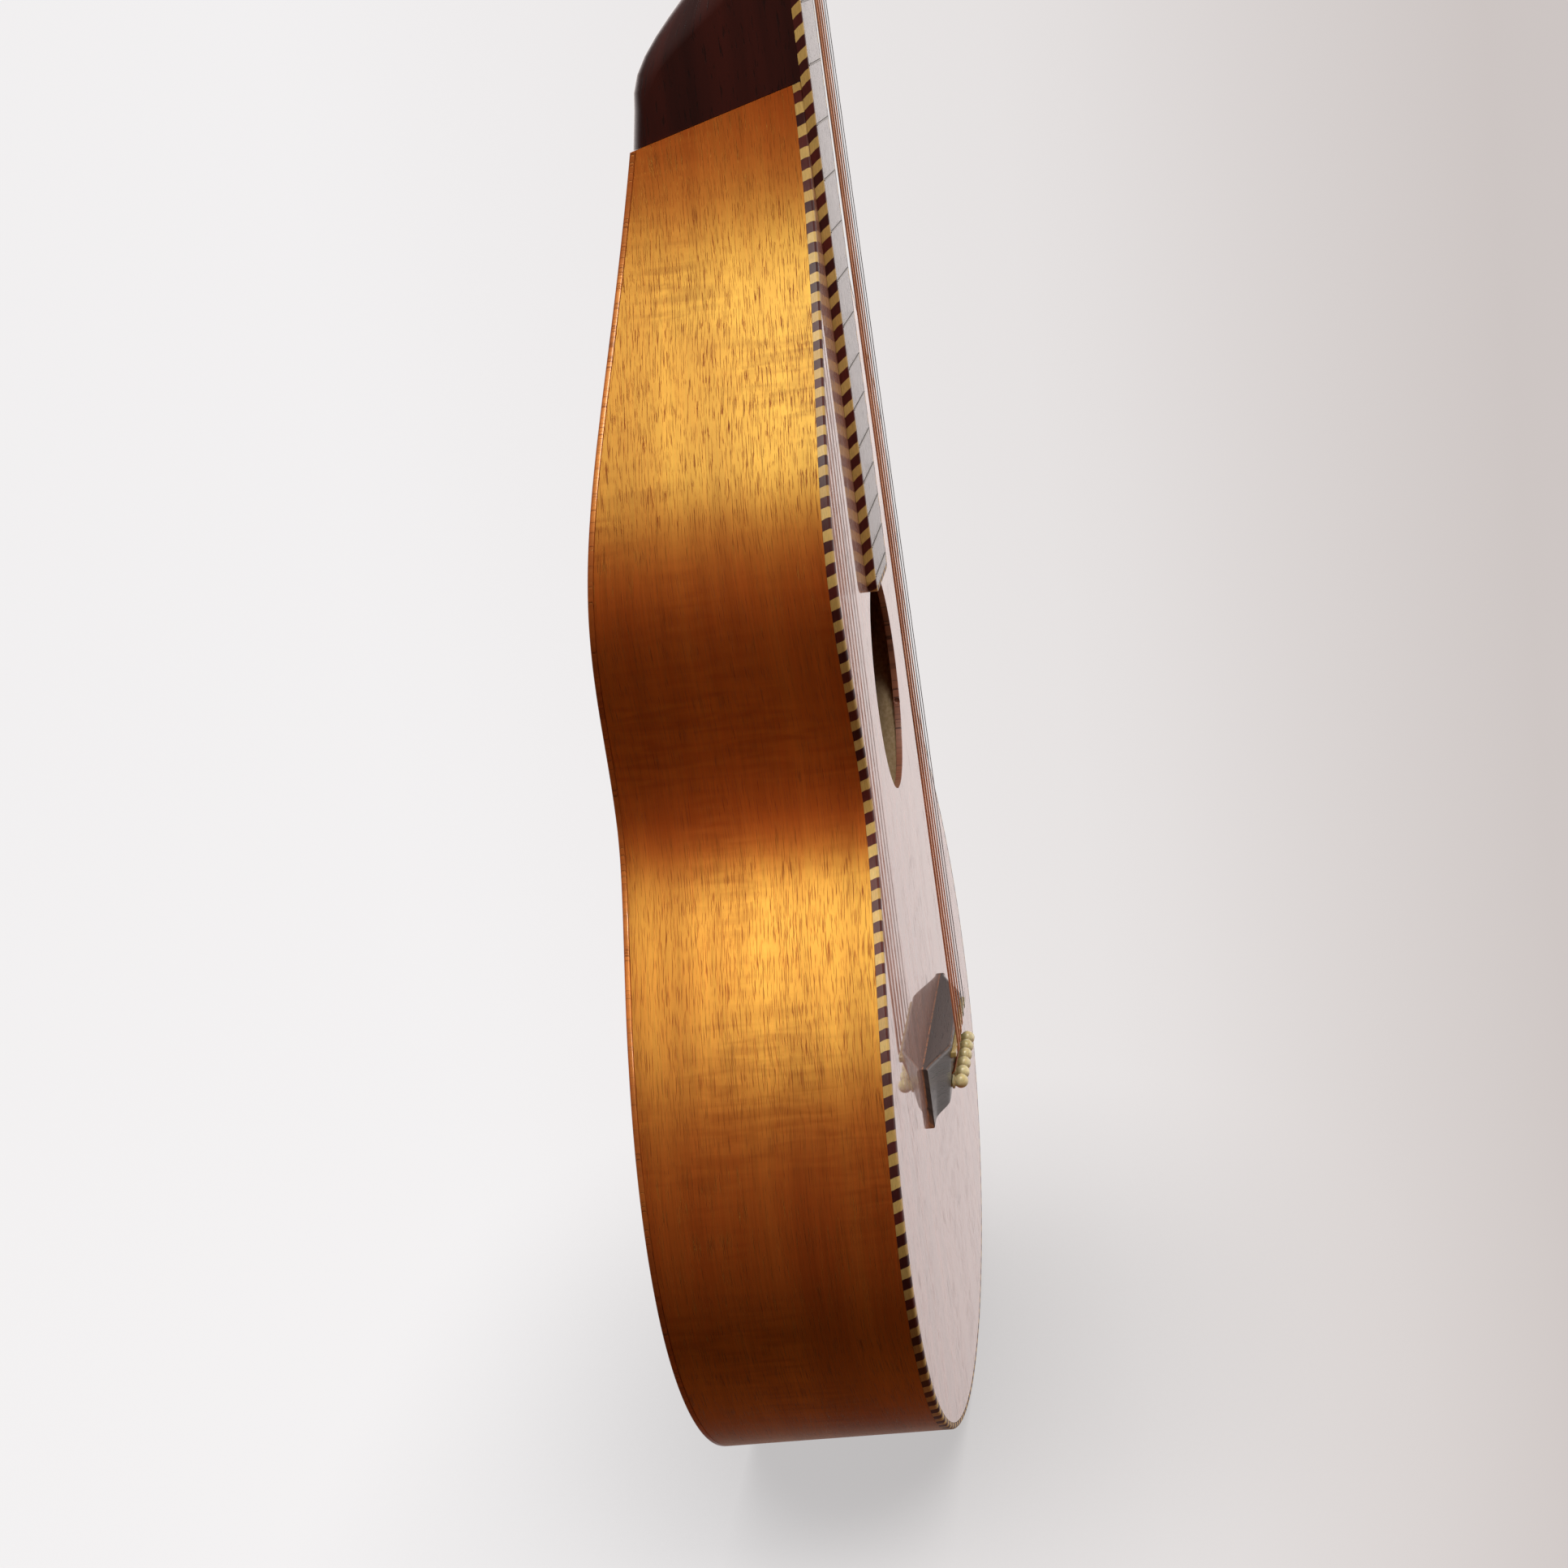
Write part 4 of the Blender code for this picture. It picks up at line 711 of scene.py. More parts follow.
# Near-black red: the mahogany's own dark red, darkened further as a painted shade over the whole neck.
colour = ramp(tree, noise(tree, scaled(tree, lines, 3, 90), 4.0, 0.6),
              (0.3, (0.020, 0.003, 0.002)), (0.7, (0.065, 0.009, 0.005)))
pores = pore_marks(tree, lines, 120, 1500)
colour = mixed(tree, maths(tree, "MULTIPLY", pores, 0.7), colour, (0.012, 0.003, 0.002))
tree.links.new(colour, shader.inputs["Base Color"])
tree.links.new(bump(tree, pores, -0.00004), shader.inputs["Normal"])
finish_piece(neck, "mahogany_neck", gloss_mahogany_painted_shade, replaces=["neck"], angle=40)


# Fretboard
# A flat board of dark rosewood, 4 mm thick, glued to the neck and the soundboard. It carries a thin
# worn lacquer over open pores, and has a rounded end at the soundhole.
BOARD_THICK, BOARD_EDGE = 4 * MM, 2.4 * MM
BOARD_LOW, NUT_Z, SADDLE_Z, SCALE_LENGTH = 367 * MM, 797 * MM, 162 * MM, 635 * MM


def board_line(edge, steps=10):
    """The treble half of the fretboard's outline, from its middle at the soundhole up to the nut."""
    low, radius, side = BOARD_LOW + edge, 6 * MM - edge, 28 * MM - edge
    turns = [math.radians(90 * i / steps) for i in range(steps + 1)]
    bend = [Vector((side - radius * (1 - math.sin(a)), low + radius * (1 - math.cos(a)))) for a in turns]
    return [Vector((0, low))] + bend + [Vector((board_half_width(NUT_Z) - edge, NUT_Z))]


def dark_rosewood(name, coat, coat_roughness, low, high):
    made, tree, shader = new_material(name, 0.5, 0.0, coat, coat_roughness)
    grain = grain_map(tree)
    lines = wandering(tree, grain, 0.004)
    colour = ramp(tree, noise(tree, scaled(tree, lines, 4, 150), 5.0, 0.65), (0.3, low), (0.7, high))
    pores = pore_marks(tree, lines, 150, 1800, 0.58)
    colour = mixed(tree, maths(tree, "MULTIPLY", pores, 0.8), colour, (0.006, 0.004, 0.003))
    tree.links.new(colour, shader.inputs["Base Color"])
    relief = bump(tree, pores, -0.00006)
    tree.links.new(relief, shader.inputs["Normal"])
    tree.links.new(relief, shader.inputs["Coat Normal"])
    return made, tree, shader, colour, grain


half_board = board_line(BOARD_EDGE + HAIR)
fretboard = plate(half_board + [Vector((-p.x, p.y)) for p in reversed(half_board[1:])],
                  FRONT - BOARD_THICK, FRONT - HAIR)
FRETS = [SADDLE_Z + SCALE_LENGTH * 2 ** (-n / 12) for n in range(1, 20)]
for z in FRETS:
    half = board_half_width(z) - BOARD_EDGE - 0.1 * MM
    combine(fretboard, block((0, FRONT - BOARD_THICK, z), (2 * half, 3 * MM, 0.95 * MM)))
map_grain(fretboard, lambda index, place: (place.z, place.x + 0.2))
board_wood = dark_rosewood("fretboard_rosewood", 0.65, 0.12, (0.035, 0.018, 0.013), (0.10, 0.045, 0.03))[0]
finish_piece(fretboard, "rosewood_fretboard", board_wood, replaces=["fretboard"])


# Fretboard binding
# The same rope of pale and dark blocks, glued round the fretboard's edge with its corners just broken.
def board_rope_section(z):
    ring = [(BOARD_EDGE, BOARD_THICK - HAIR), (BOARD_EDGE, 0)] + round_corner(0.5 * MM, 4)
    return [(depth, FRONT - BOARD_THICK + y) for depth, y in ring + [(0, BOARD_THICK - HAIR)]]


half_edge = board_line(0, 18)
edge_line = [Vector((-p.x, p.y)) for p in reversed(half_edge[1:])] + half_edge
finish_piece(band(edge_line, board_rope_section), "fretboard_rope_blocks",
             rope_wood("fretboard_rope", 9.0 * MM, 0.45, 0.25, BOARD_THICK, 6.2 * MM),
             replaces=["fretboard_binding"], angle=40)


# Frets
# Nineteen plain strips of nickel silver, set in saw cuts and filed almost level with the wood,
# because the strings are stopped with a steel bar and never pressed down to them.
fret_metal, tree, shader = new_material("dull_nickel_silver", 0.35, 0.9)
place = node(tree, "TexCoord").outputs["Object"]
filed = noise(tree, node(tree, "Mapping", Vector=place, Scale=(400, 400, 4000)).outputs["Vector"], 3.0)
tree.links.new(ramp(tree, filed, (0.3, (0.20, 0.185, 0.16)), (0.7, (0.36, 0.34, 0.31))), shader.inputs["Base Color"])
tree.links.new(bump(tree, filed, 0.00002), shader.inputs["Normal"])
for fret, z in enumerate(FRETS, 1):
    half = board_half_width(z) - BOARD_EDGE - 0.2 * MM
    strip = block((0, FRONT - BOARD_THICK + 0.5 * MM, z), (2 * half, 1.7 * MM, 0.7 * MM))
    ease_edges(strip, 0.3 * MM, 4)
    finish_piece(strip, f"fret_{fret}", fret_metal)


# Nut
# A tall piece of yellowed ivory-coloured material across the end of the fretboard, which lifts
# the strings for playing with a bar. Its top is rounded and has a notch for each string.
STRING_RADII = [r * MM for r in (0.19, 0.22, 0.28, 0.35, 0.42, 0.5)]


def string_x(number, span):
    return (span / 2 - (number - 1) * span / 5) * MM


def old_ivory(name, low, high):
    made, tree, shader = new_material(name, 0.32, 0.0, 0.5, 0.12)
    place = node(tree, "TexCoord").outputs["Object"]
    cloud = noise(tree, node(tree, "Mapping", Vector=place, Scale=(160, 160, 160)).outputs["Vector"], 3.0, 0.6)
    specks = noise(tree, node(tree, "Mapping", Vector=place, Scale=(1500, 1500, 1500)).outputs["Vector"])
    colour = ramp(tree, cloud, (0.35, low), (0.65, high))
    colour = mixed(tree, 1.0, colour, ramp(tree, specks, (0.28, 0.72), (0.42, 1.0)), "MULTIPLY")
    tree.links.new(colour, shader.inputs["Base Color"])
    tree.links.new(bump(tree, specks, 0.00003), shader.inputs["Normal"])
    shader.inputs["Subsurface Weight"].default_value = 0.15
    shader.inputs["Subsurface Radius"].default_value = (0.002, 0.0012, 0.0006)
    return made


ivory = old_ivory("yellowed_ivory", (0.38, 0.26, 0.075), (0.52, 0.38, 0.13))
nut_top = 8.2 * MM
nut = block((0, FRONT - nut_top / 2, NUT_Z + 3.3 * MM), (48.5 * MM, nut_top - 0.1 * MM, 6 * MM))
ease_edges(nut, 0.9 * MM, 4)
for number, radius in enumerate(STRING_RADII, 1):
    x, y = string_x(number, 42), FRONT - 7.9 * MM - radius
    combine(nut, rod(radius + 0.03 * MM, (x, y, NUT_Z - 2 * MM), (x, y - 0.2 * MM, NUT_Z + 9 * MM), 16))
finish_piece(nut, "raised_nut", ivory, replaces=["nut"])


# Bridge
# A bar of rosewood glued to the soundboard: a ramp down from the saddle's edge to the tail,
# and two wings scooped out at the ends. Its worn edges show lighter, redder wood.
BRIDGE_FRONT, BRIDGE_TAIL, WING = 4.5 * MM, -22.5 * MM, 2.3 * MM


def bridge_heights(x):
    """Heights of the bridge's top at its neck edge and at its tail edge."""
    slope = 1 - min(max((abs(x) - 35 * MM) / (27 * MM), 0), 1)
    rise = 0.75 * slope + 0.25 * smoothstep(slope)
    fall = 1 - smoothstep((abs(x) - 32 * MM) / (22 * MM))
    return WING + 8.7 * MM * rise, WING + 5.0 * MM * fall


def bridge_ring(x):
    front, tail = bridge_heights(x)
    round_over = min(1.6 * MM, front - 1.2 * MM)
    turns = [math.radians(15 * i) for i in range(7)]
    profile = [(BRIDGE_FRONT, 0), (BRIDGE_FRONT, 0.5 * MM)]
    profile += [(BRIDGE_FRONT, front - round_over - 0.4 * MM)]
    profile += [(BRIDGE_FRONT - round_over * (1 - math.cos(a)), front - round_over * (1 - math.sin(a))) for a in turns]
    profile += [(BRIDGE_FRONT + (BRIDGE_TAIL - BRIDGE_FRONT) * t, front + (tail - front) * t) for t in (0.3, 0.6)]
    profile += [(BRIDGE_TAIL + 0.9 * MM, tail), (BRIDGE_TAIL + 0.35 * MM, tail - 0.12 * MM),
                (BRIDGE_TAIL + 0.1 * MM, tail - 0.4 * MM), (BRIDGE_TAIL, tail - 0.9 * MM), (BRIDGE_TAIL, 0)]
    return [Vector((x, FRONT - height, SADDLE_Z + z)) for z, height in profile]


bridge_stations = [63 * MM * (i - 80) / 80 for i in range(161)]
bridge = loft(bridge_stations, [bridge_ring(x) for x in bridge_stations])
wear_map = bridge.data.uv_layers.new(name="wear")
for loop in bridge.data.loops:
    x, y, z = bridge.data.vertices[loop.vertex_index].co
    front, tail = bridge_heights(x)
    below = front - (FRONT - y)
    edge = below if z > SADDLE_Z + BRIDGE_FRONT - 0.1 * MM else SADDLE_Z + BRIDGE_FRONT - z
    wear_map.data[loop.index].uv = (min(edge, z - SADDLE_Z - BRIDGE_TAIL), FRONT - y)
combine(bridge, block((0, FRONT - 22.4 * MM, SADDLE_Z), (72.3 * MM, 30 * MM, 3.15 * MM)))
PIN_Z = 146.5 * MM
for number in range(1, 7):
    x = string_x(number, 54.6)
    combine(bridge, rod(2.5 * MM, (x, FRONT - 0.03, PIN_Z), (x, FRONT - 0.001, PIN_Z), 32))
    combine(bridge, rod(1.25 * MM, (x, FRONT - 0.03, PIN_Z + 3.8 * MM), (x, FRONT - 0.001, PIN_Z + 3.8 * MM), 20))
map_grain(bridge, lambda index, place: (place.x + 0.5, place.z - place.y))
bridge_wood, tree, shader, colour, grain = dark_rosewood(
    "bridge_rosewood", 0.5, 0.16, (0.030, 0.022, 0.021), (0.080, 0.060, 0.055))
wear = node(tree, "SeparateXYZ", Vector=node(tree, "UVMap", {"uv_map": "wear"}).outputs["UV"])
patchy = ramp(tree, noise(tree, scaled(tree, grain, 350, 350), 3.0), (0.36, 0.0), (0.56, 1.0))
top_edge = ramp(tree, maths(tree, "MULTIPLY", wear.outputs["X"], 1000), (0.05, 0.8), (0.5, 0.0))
foot = ramp(tree, maths(tree, "MULTIPLY", wear.outputs["Y"], 1000), (0.15, 1.0), (0.5, 0.0))
rubbed = maths(tree, "MULTIPLY", maths(tree, "MAXIMUM", top_edge, foot), patchy)
dust = ramp(tree, noise(tree, scaled(tree, grain, 900, 2600), 3.0, 0.7), (0.60, 0.0), (0.72, 0.5))
colour = mixed(tree, dust, colour, (0.16, 0.14, 0.13))
tree.links.new(mixed(tree, rubbed, colour, (0.42, 0.17, 0.075)), shader.inputs["Base Color"])
finish_piece(bridge, "rosewood_bridge", bridge_wood, replaces=["bridge"], angle=30)


# Saddle
# A straight strip of the same ivory-coloured material, pushed into a slot in the bridge,
# with a rounded top that the strings bear on.
saddle = block((0, FRONT - 10.05 * MM, SADDLE_Z), (72 * MM, 5.3 * MM, 3 * MM))
ease_edges(saddle, 0.8 * MM, 4)
finish_piece(saddle, "ivory_saddle", ivory, replaces=["saddle"])


# Bridge pins
# Six turned pins with ball heads, pushed into holes behind the saddle to hold the strings' ball ends.
# They are the same ivory-coloured material gone greenish yellow, made much paler than the nut's: partly their own
# colour, partly painted light.
def turned(profile, steps=32):
    """A solid turned about the Z axis from a (radius, height) profile that begins and ends on the axis."""
    bpy.ops.mesh.primitive_circle_add(vertices=len(profile), radius=1)
    obj = bpy.context.object
    for vertex, (radius, height) in zip(obj.data.vertices, profile):
        vertex.co = (radius, 0, height)
    edit(obj)
    bpy.ops.mesh.spin(steps=steps, angle=2 * math.pi, center=(0, 0, 0), axis=(0, 0, 1))
    bpy.ops.mesh.select_all(action="SELECT")
    bpy.ops.mesh.remove_doubles(threshold=1e-6)
    bpy.ops.mesh.delete_loose()
    bpy.ops.mesh.select_all(action="SELECT")
    bpy.ops.mesh.normals_make_consistent(inside=False)
    leave_edit()
    return obj


def copy_of(obj, place=None):
    made = obj.copy()
    made.data = obj.data.copy()
    bpy.context.collection.objects.link(made)
    if place is not None:
        place_in_mesh(made, place)
    return made


def on_soundboard(x, height, z):
    return Vector((x, FRONT - height, z))


BALL, BALL_HEIGHT = 3.15 * MM, 12.4 * MM
ball_turns = [math.radians(11.5 * i) for i in range(13)]
first_pin = turned([(BALL * math.sin(a), BALL_HEIGHT + BALL * math.cos(a)) for a in ball_turns]
                   + [(r * MM, h * MM) for r, h in ((2.0, 10.2), (2.05, 9.8), (2.9, 9.6), (3.1, 9.3), (3.1, 8.8),
                                                    (2.9, 8.5), (2.3, 8.4), (1.9, -6.2), (1.5, -6.4), (0, -6.4))])
# A paler copy of the ivory: partly the pins' own colour, partly painted light.
pale_pin_ivory_painted_light = old_ivory("pale_pin_ivory_painted_light", (0.80, 0.66, 0.31), (0.93, 0.80, 0.46))
for number in range(1, 7):
    pin = copy_of(first_pin, Matrix.Translation(on_soundboard(string_x(number, 54.6), 0, PIN_Z))
                  @ Matrix.Rotation(math.radians(90), 4, "X"))
    finish_piece(pin, f"ball_pin_{number}", pale_pin_ivory_painted_light, replaces=[f"bridge_pin_{number}"])
bpy.data.objects.remove(first_pin, do_unlink=True)


# Tuner plates
# Each side of the headstock has one strip of nickelled steel screwed flat to its back.
# Pairs of ears folded up from the strip carry the worm shafts.
def metal(name, low, high, roughness):
    """Plated metal, clouded and finely scratched."""
    made, tree, shader = new_material(name, roughness, 1.0)
    place = node(tree, "TexCoord").outputs["Object"]
    cloud = noise(tree, node(tree, "Mapping", Vector=place, Scale=(260, 260, 260)).outputs["Vector"], 4.0, 0.65)
    tree.links.new(ramp(tree, cloud, (0.35, low), (0.62, high)), shader.inputs["Base Color"])
    tree.links.new(ramp(tree, cloud, (0.3, roughness + 0.15), (0.7, roughness - 0.06)), shader.inputs["Roughness"])
    scratches = noise(tree, node(tree, "Mapping", Vector=place, Scale=(900, 5000, 700)).outputs["Vector"], 3.0)
    tree.links.new(bump(tree, scratches, 0.000012), shader.inputs["Normal"])
    return made


GEAR_DEPTH = 21.8 * MM
CENTRE_DISTANCE = 8.95 * MM
SHAFT_RADIUS, EAR_AT = 1.6 * MM, 6.4 * MM
SHEET_BACK = HEAD_THICK + 1.5 * MM
nickel = metal("aged_nickel", (0.38, 0.35, 0.30), (0.66, 0.63, 0.58), 0.26)

screw = turned([(r * MM, h * MM) for r, h in ((0, 1.0), (0.8, 0.95), (1.5, 0.7), (2.0, 0.3), (2.1, 0.0), (2.0, -0.2),
                                              (1.1, -0.4), (1.1, -6), (0, -8))], 24)
combine(screw, block((0, 0, 1.0 * MM), (5 * MM, 0.55 * MM, 1.0 * MM)))
for label, side in (("bass", -1), ("treble", 1)):
    middle, half_long, half_wide, radius = 78 * MM, 53 * MM, 8.5 * MM, 3 * MM
    outline = []
    for quarter, (sx, sz) in enumerate(((1, 1), (-1, 1), (-1, -1), (1, -1))):
        for i in range(7):
            a = math.radians(90 * quarter + 15 * i)
            outline.append((side * POST_X + sx * (half_wide - radius) + radius * math.cos(a),
                            middle + sz * (half_long - radius) + radius * math.sin(a)))
    strip = plate(outline, HEAD_THICK + HAIR, SHEET_BACK)
    ease_edges(strip, 0.3 * MM, 2, 60)
    arch = [math.pi * i / 14 for i in range(15)]
    ear_line = [(HEAD_THICK + 1 * MM, 3.9 * MM), (SHEET_BACK, 3.9 * MM), (SHEET_BACK + 1 * MM, 3.1 * MM)]
    ear_line += [(GEAR_DEPTH + 3.1 * MM * math.sin(a), 3.1 * MM * math.cos(a)) for a in arch]
    ear_line += [(SHEET_BACK + 1 * MM, -3.1 * MM), (SHEET_BACK, -3.9 * MM), (HEAD_THICK + 1 * MM, -3.9 * MM)]
    first_ear = plate(ear_line, -0.8 * MM, 0.8 * MM)
    ease_edges(first_ear, 0.2 * MM, 2, 60)
    for along in (40, 78, 116):
        worm_z = along * MM - CENTRE_DISTANCE
        for x in (-EAR_AT, EAR_AT):
            ear = copy_of(first_ear, Matrix.Translation((side * POST_X + x, 0, worm_z))
                          @ Matrix.Rotation(math.radians(90), 4, "Z"))
            combine(strip, ear, "UNION")
        reach = 10 * MM
        combine(strip, rod(SHAFT_RADIUS + 0.15 * MM, (side * POST_X - reach, GEAR_DEPTH, worm_z),
                           (side * POST_X + reach, GEAR_DEPTH, worm_z), 32))
        combine(strip, rod(3.5 * MM, (side * POST_X, HEAD_THICK - 1 * MM, along * MM),
                           (side * POST_X, HEAD_THICK + 3 * MM, along * MM), 32))
    bpy.data.objects.remove(first_ear, do_unlink=True)
    place_in_mesh(strip, HEAD)
    finish_piece(strip, f"tuner_strip_{label}", nickel, replaces=[f"tuner_plate_{label}"])
    for count, along in enumerate((56, 94, 127), 1):
        turn = Matrix.Rotation(math.radians(37 * count + 20 * side), 4, "Y") @ Matrix.Rotation(math.radians(-90), 4, "X")
        held = copy_of(screw, HEAD @ Matrix.Translation((side * POST_X, SHEET_BACK, along * MM)) @ turn)
        finish_piece(held, f"strip_screw_{label}_{count}", nickel)
bpy.data.objects.remove(screw, do_unlink=True)


# String posts and gears
# Each post is a turned rod, waisted where the string winds and drilled across. Its gear, with teeth
# cut to the lean of the worm, is held on the square end by a slotted screw.
GEAR_TEETH, GEAR_PITCH_RADIUS, WORM_PITCH_RADIUS = 14, 6.2 * MM, 2.75 * MM
WORM_LEAD = 2 * math.pi * GEAR_PITCH_RADIUS / GEAR_TEETH
POST_PROFILE = ((0, 24.5), (2.1, 24.5), (2.6, 24.35), (2.8, 23.9), (2.8, 23.6), (3.6, 23.5), (3.6, 23.0), (4.1, 21.8),
                (4.1, 17.8), (3.1, 17.8), (3.1, -4.0), (3.0, -4.6), (2.75, -5.4), (2.7, -6.0), (2.7, -11.0),
                (2.75, -11.6), (3.0, -12.4), (3.1, -13.0), (3.1, -16.2), (2.9, -16.7), (2.4, -16.95), (0, -17))
gear_metal = metal("gear_metal", (0.42, 0.34, 0.20), (0.70, 0.58, 0.36), 0.30)


def gear_ring(height, outer, root):
    lean = math.atan(WORM_LEAD / (2 * math.pi * WORM_PITCH_RADIUS))
    turn, pitch, ring = height * math.tan(lean) / GEAR_PITCH_RADIUS, 2 * math.pi / GEAR_TEETH, []
    for tooth in range(GEAR_TEETH):
        for radius, share in ((root, -0.38), (root, -0.3), (outer - 0.15 * MM, -0.13), (outer, -0.08),
                              (outer, 0.08), (outer - 0.15 * MM, 0.13), (root, 0.3), (root, 0.38)):
            angle = pitch * (tooth + share) + turn
            ring.append(Vector((radius * math.cos(angle), radius * math.sin(angle), GEAR_DEPTH + height)))
    return ring


gear_heights = [-1.7 * MM, -1.5 * MM, 0, 1.5 * MM, 1.7 * MM]
gear_rings = [gear_ring(h, (6.85 - (0.2 if abs(h) > 1.6 * MM else 0)) * MM, 5.25 * MM) for h in gear_heights]
first_gear = loft(gear_heights, gear_rings)
combine(first_gear, rod(4.0 * MM, (0, 0, GEAR_DEPTH - 4 * MM), (0, 0, GEAR_DEPTH + 4 * MM), 48))
first_post = turned([(r * MM, h * MM) for r, h in POST_PROFILE], 40)
combine(first_post, rod(0.9 * MM, (-5 * MM, 0, -8.5 * MM), (5 * MM, 0, -8.5 * MM), 20))
combine(first_post, block((0, 0, 24.5 * MM), (8 * MM, 0.7 * MM, 1.1 * MM)))
for number, side, along in POSTS:
    upright = (HEAD @ Matrix.Translation((side * POST_X, 0, along * MM))
               @ Matrix.Rotation(math.radians(-90), 4, "X"))
    finish_piece(copy_of(first_post, upright), f"string_post_{number}", nickel, f"post_{number}",
                 [f"tuner_post_{number}"])
    finish_piece(copy_of(first_gear, upright), f"gear_{number}", gear_metal, f"post_{number}", angle=30)
bpy.data.objects.remove(first_post, do_unlink=True)
bpy.data.objects.remove(first_gear, do_unlink=True)


# Keys and buttons
# Each key is a steel shaft with a worm cut on it between the ears. An oval button of yellowed plastic
# is pressed on its outer end, against a small collar.
def thread_ring(turn):
    ring = []
    for radius, shift in ((1.4, -0.75), (3.25, -0.32), (3.4, -0.18), (3.4, 0.18), (3.25, 0.32), (1.4, 0.75)):
        angle = turn + math.pi / 2
        along = WORM_LEAD * turn / (2 * math.pi) + shift * MM
        ring.append(Vector((along, radius * MM * math.cos(angle), radius * MM * math.sin(angle))))
    return ring


turns = [2 * math.pi * (step - 33) / 24 for step in range(67)]
worm = loft([turn * MM for turn in turns], [thread_ring(turn) for turn in turns])
button_ivory = old_ivory("button_ivory", (0.50, 0.40, 0.22), (0.66, 0.56, 0.36))
for side in (1, -1):
    shaft = turned([(r * MM, h * MM) for r, h in ((0, -8.4), (1.2, -8.4), (1.6, -8.1), (1.6, 8.6), (2.2, 8.7), (2.2, 9.6),
                                                  (1.6, 9.7), (1.6, 17.4), (2.3, 17.6), (2.5, 18.2), (2.4, 19.4),
                                                  (1.5, 19.6), (1.5, 28.6), (0, 29))], 32)
    place_in_mesh(shaft, Matrix.Rotation(math.radians(90 * side), 4, "Y"))
    combine(shaft, copy_of(worm), "UNION")
    bpy.ops.mesh.primitive_uv_sphere_add(segments=64, ring_count=32, radius=1)
    button = bpy.context.object
    for vertex in button.data.vertices:
        halves = (8.5 * MM, 3.3 * MM, 7 * MM)
        vertex.co = [math.copysign(abs(v) ** 0.8, v) * half for v, half in zip(vertex.co, halves)]
    place_in_mesh(button, Matrix.Translation((side * 27 * MM, 0, 0)))
    combine(button, rod(1.62 * MM, (side * 16 * MM, 0, 0), (side * 29.2 * MM, 0, 0), 32))
    for number, own_side, along in POSTS:
        if own_side == side:
            place = HEAD @ Matrix.Translation((side * POST_X, GEAR_DEPTH, along * MM - CENTRE_DISTANCE))
            finish_piece(copy_of(shaft, place), f"worm_key_{number}", nickel, f"key_{number}",
                         [f"tuner_key_{number}"], 30)
            finish_piece(copy_of(button, place), f"oval_button_{number}", button_ivory, f"key_{number}",
                         [f"tuner_button_{number}"], 60)
    bpy.data.objects.remove(shaft, do_unlink=True)
    bpy.data.objects.remove(button, do_unlink=True)
bpy.data.objects.remove(worm, do_unlink=True)


# Strings
# Two of plain steel and four wound with bronze, from the pins over the saddle and the nut to the posts.
# A few turns of each are wound on its post and move with it.
def wire(points, radius, square=Vector((1, 0, 0)), sides=10):
    """A round wire through a line of points; the square direction is never along the line."""
    rings = []
    for i, point in enumerate(points):
        along = (points[min(i + 1, len(points) - 1)] - points[max(i - 1, 0)]).normalized()
        across = along.cross(square).normalized()
        other = along.cross(across)
        turns = [2 * math.pi * k / sides for k in range(sides)]
        rings.append([point + radius * (across * math.cos(a) + other * math.sin(a)) for a in turns])
    return loft(lengths_along(points), rings)


def string_metal(name, low, high, pitch):
    """Metal with fine rings round it; the pitch is in rings per metre."""
    made, tree, shader = new_material(name, 0.35, 0.6)
    grain = grain_map(tree)
    along = node(tree, "SeparateXYZ", Vector=grain).outputs["X"]
    wave = maths(tree, "SINE", maths(tree, "MULTIPLY", along, 2 * math.pi * pitch))
    worn = noise(tree, scaled(tree, grain, 60, 500), 3.0)
    tree.links.new(ramp(tree, worn, (0.35, low), (0.65, high)), shader.inputs["Base Color"])
    tree.links.new(bump(tree, wave, 0.00001, 0.2), shader.inputs["Normal"])
    return made


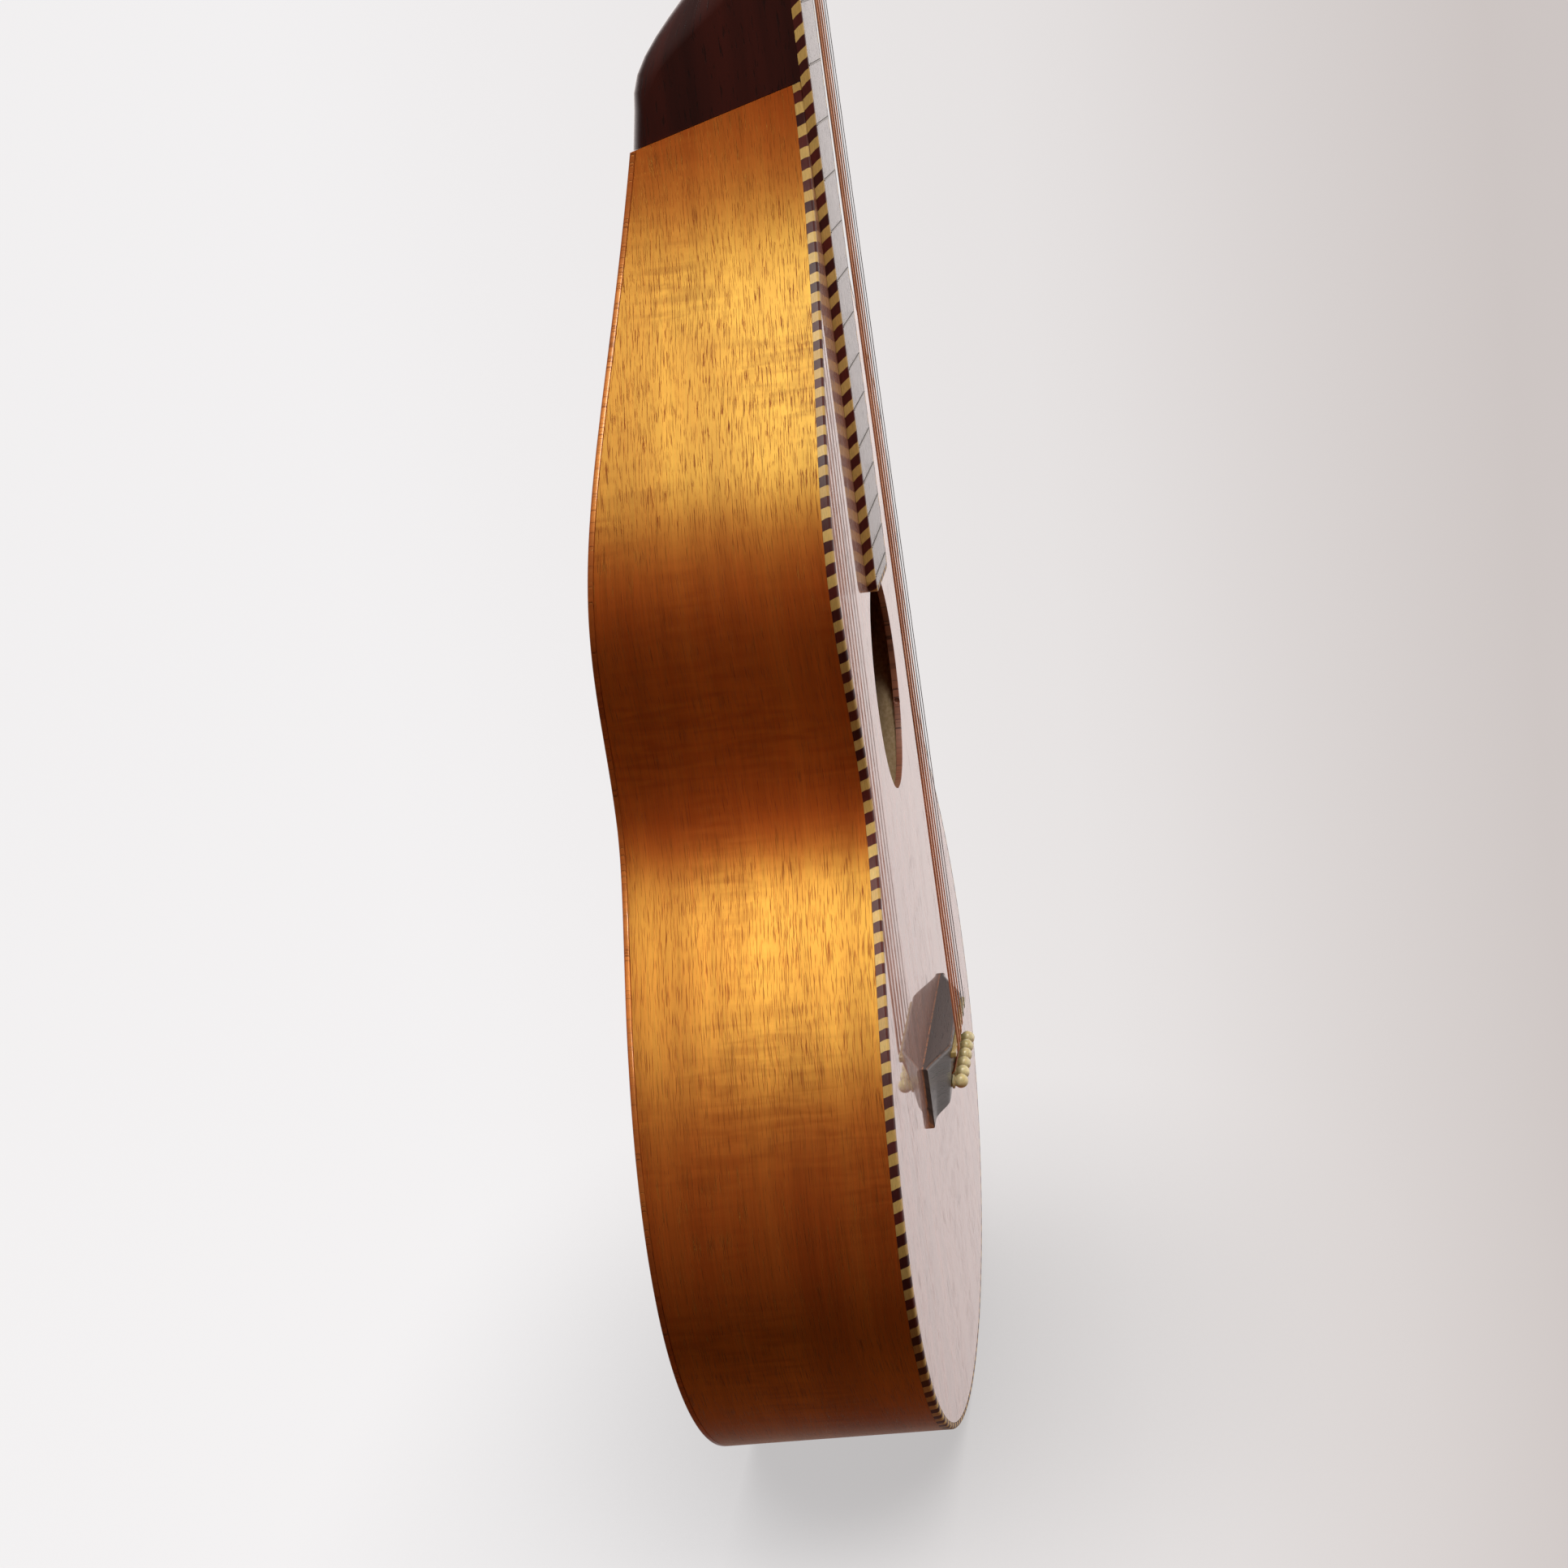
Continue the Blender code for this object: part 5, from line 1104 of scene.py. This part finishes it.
plain_steel = string_metal("plain_steel", (0.30, 0.29, 0.30), (0.50, 0.49, 0.50), 150)
wound_bronze = string_metal("bronze_winding", (0.60, 0.24, 0.12), (0.80, 0.38, 0.22), 2600)
for (number, side, along), radius in zip(POSTS, STRING_RADII):
    low, high = string_x(number, 54.6), string_x(number, 42)
    slot_z = PIN_Z + 4.1 * MM
    crown, nut_rest = 12.7 * MM + radius, 7.9 * MM + radius
    touch = HEAD @ Vector((side * (POST_X - 3.4 * MM - radius), -8.5 * MM, along * MM))
    route = [on_soundboard(*spot) for spot in (
        (low, -7.2 * MM, slot_z), (low, 9.2 * MM, slot_z), (low, 9.9 * MM, slot_z + 0.8 * MM),
        (low, crown - 0.6 * MM, SADDLE_Z - 1.6 * MM), (low, crown - 0.15 * MM, SADDLE_Z - 0.8 * MM),
        (low, crown, SADDLE_Z), (high, nut_rest, NUT_Z + 1.8 * MM), (high, nut_rest - 0.05 * MM, NUT_Z + 3 * MM),
        (high, nut_rest - 0.3 * MM, NUT_Z + 4.6 * MM))] + [touch]
    plain = number < 3
    metal_look, slot_name = (plain_steel, "plain_string") if plain else (wound_bronze, "wound_string")
    string = wire(route, radius)
    combine(string, rod(1.7 * MM, route[0] + Vector((0, 2 * MM, 0)), route[0] + Vector((0, -0.1 * MM, 0)), 20), "UNION")
    finish_piece(string, f"{'plain' if plain else 'wound'}_string_{number}", metal_look,
                 replaces=[f"string_{number}"], angle=50)
    turns_round = 5.0 if radius < 0.3 * MM else 3.5 if radius < 0.5 * MM else 2.5
    spots = []
    for step in range(int(turns_round * 24) + 1):
        turn = 2 * math.pi * step / 24
        y = -8.5 * MM + 2.1 * radius * turn / (2 * math.pi)
        out = radius + 0.05 * MM + (2.7 + 0.4 * smoothstep((y / MM + 6) / 2)) * MM
        out += 0.65 * MM * (1 - smoothstep(turn / (math.pi / 2)))
        spots.append(HEAD @ Vector((side * (POST_X - out * math.cos(turn)), y, along * MM + out * math.sin(turn))))
    coil = wire(spots, radius, (HEAD.to_3x3() @ Vector((0, 1, 0))))
    finish_piece(coil, f"string_turns_{number}", metal_look, f"post_{number}", angle=50)
    ends = [HEAD @ Vector((side * (POST_X + x * MM), y * MM, along * MM)) for x, y in ((-2, -8.5), (2, -8.6), (5.2, -9.4))]
    finish_piece(wire(ends, min(radius, 0.6 * MM), HEAD.to_3x3() @ Vector((0, 1, 0))), f"string_end_{number}",
                 metal_look, f"post_{number}", angle=50)
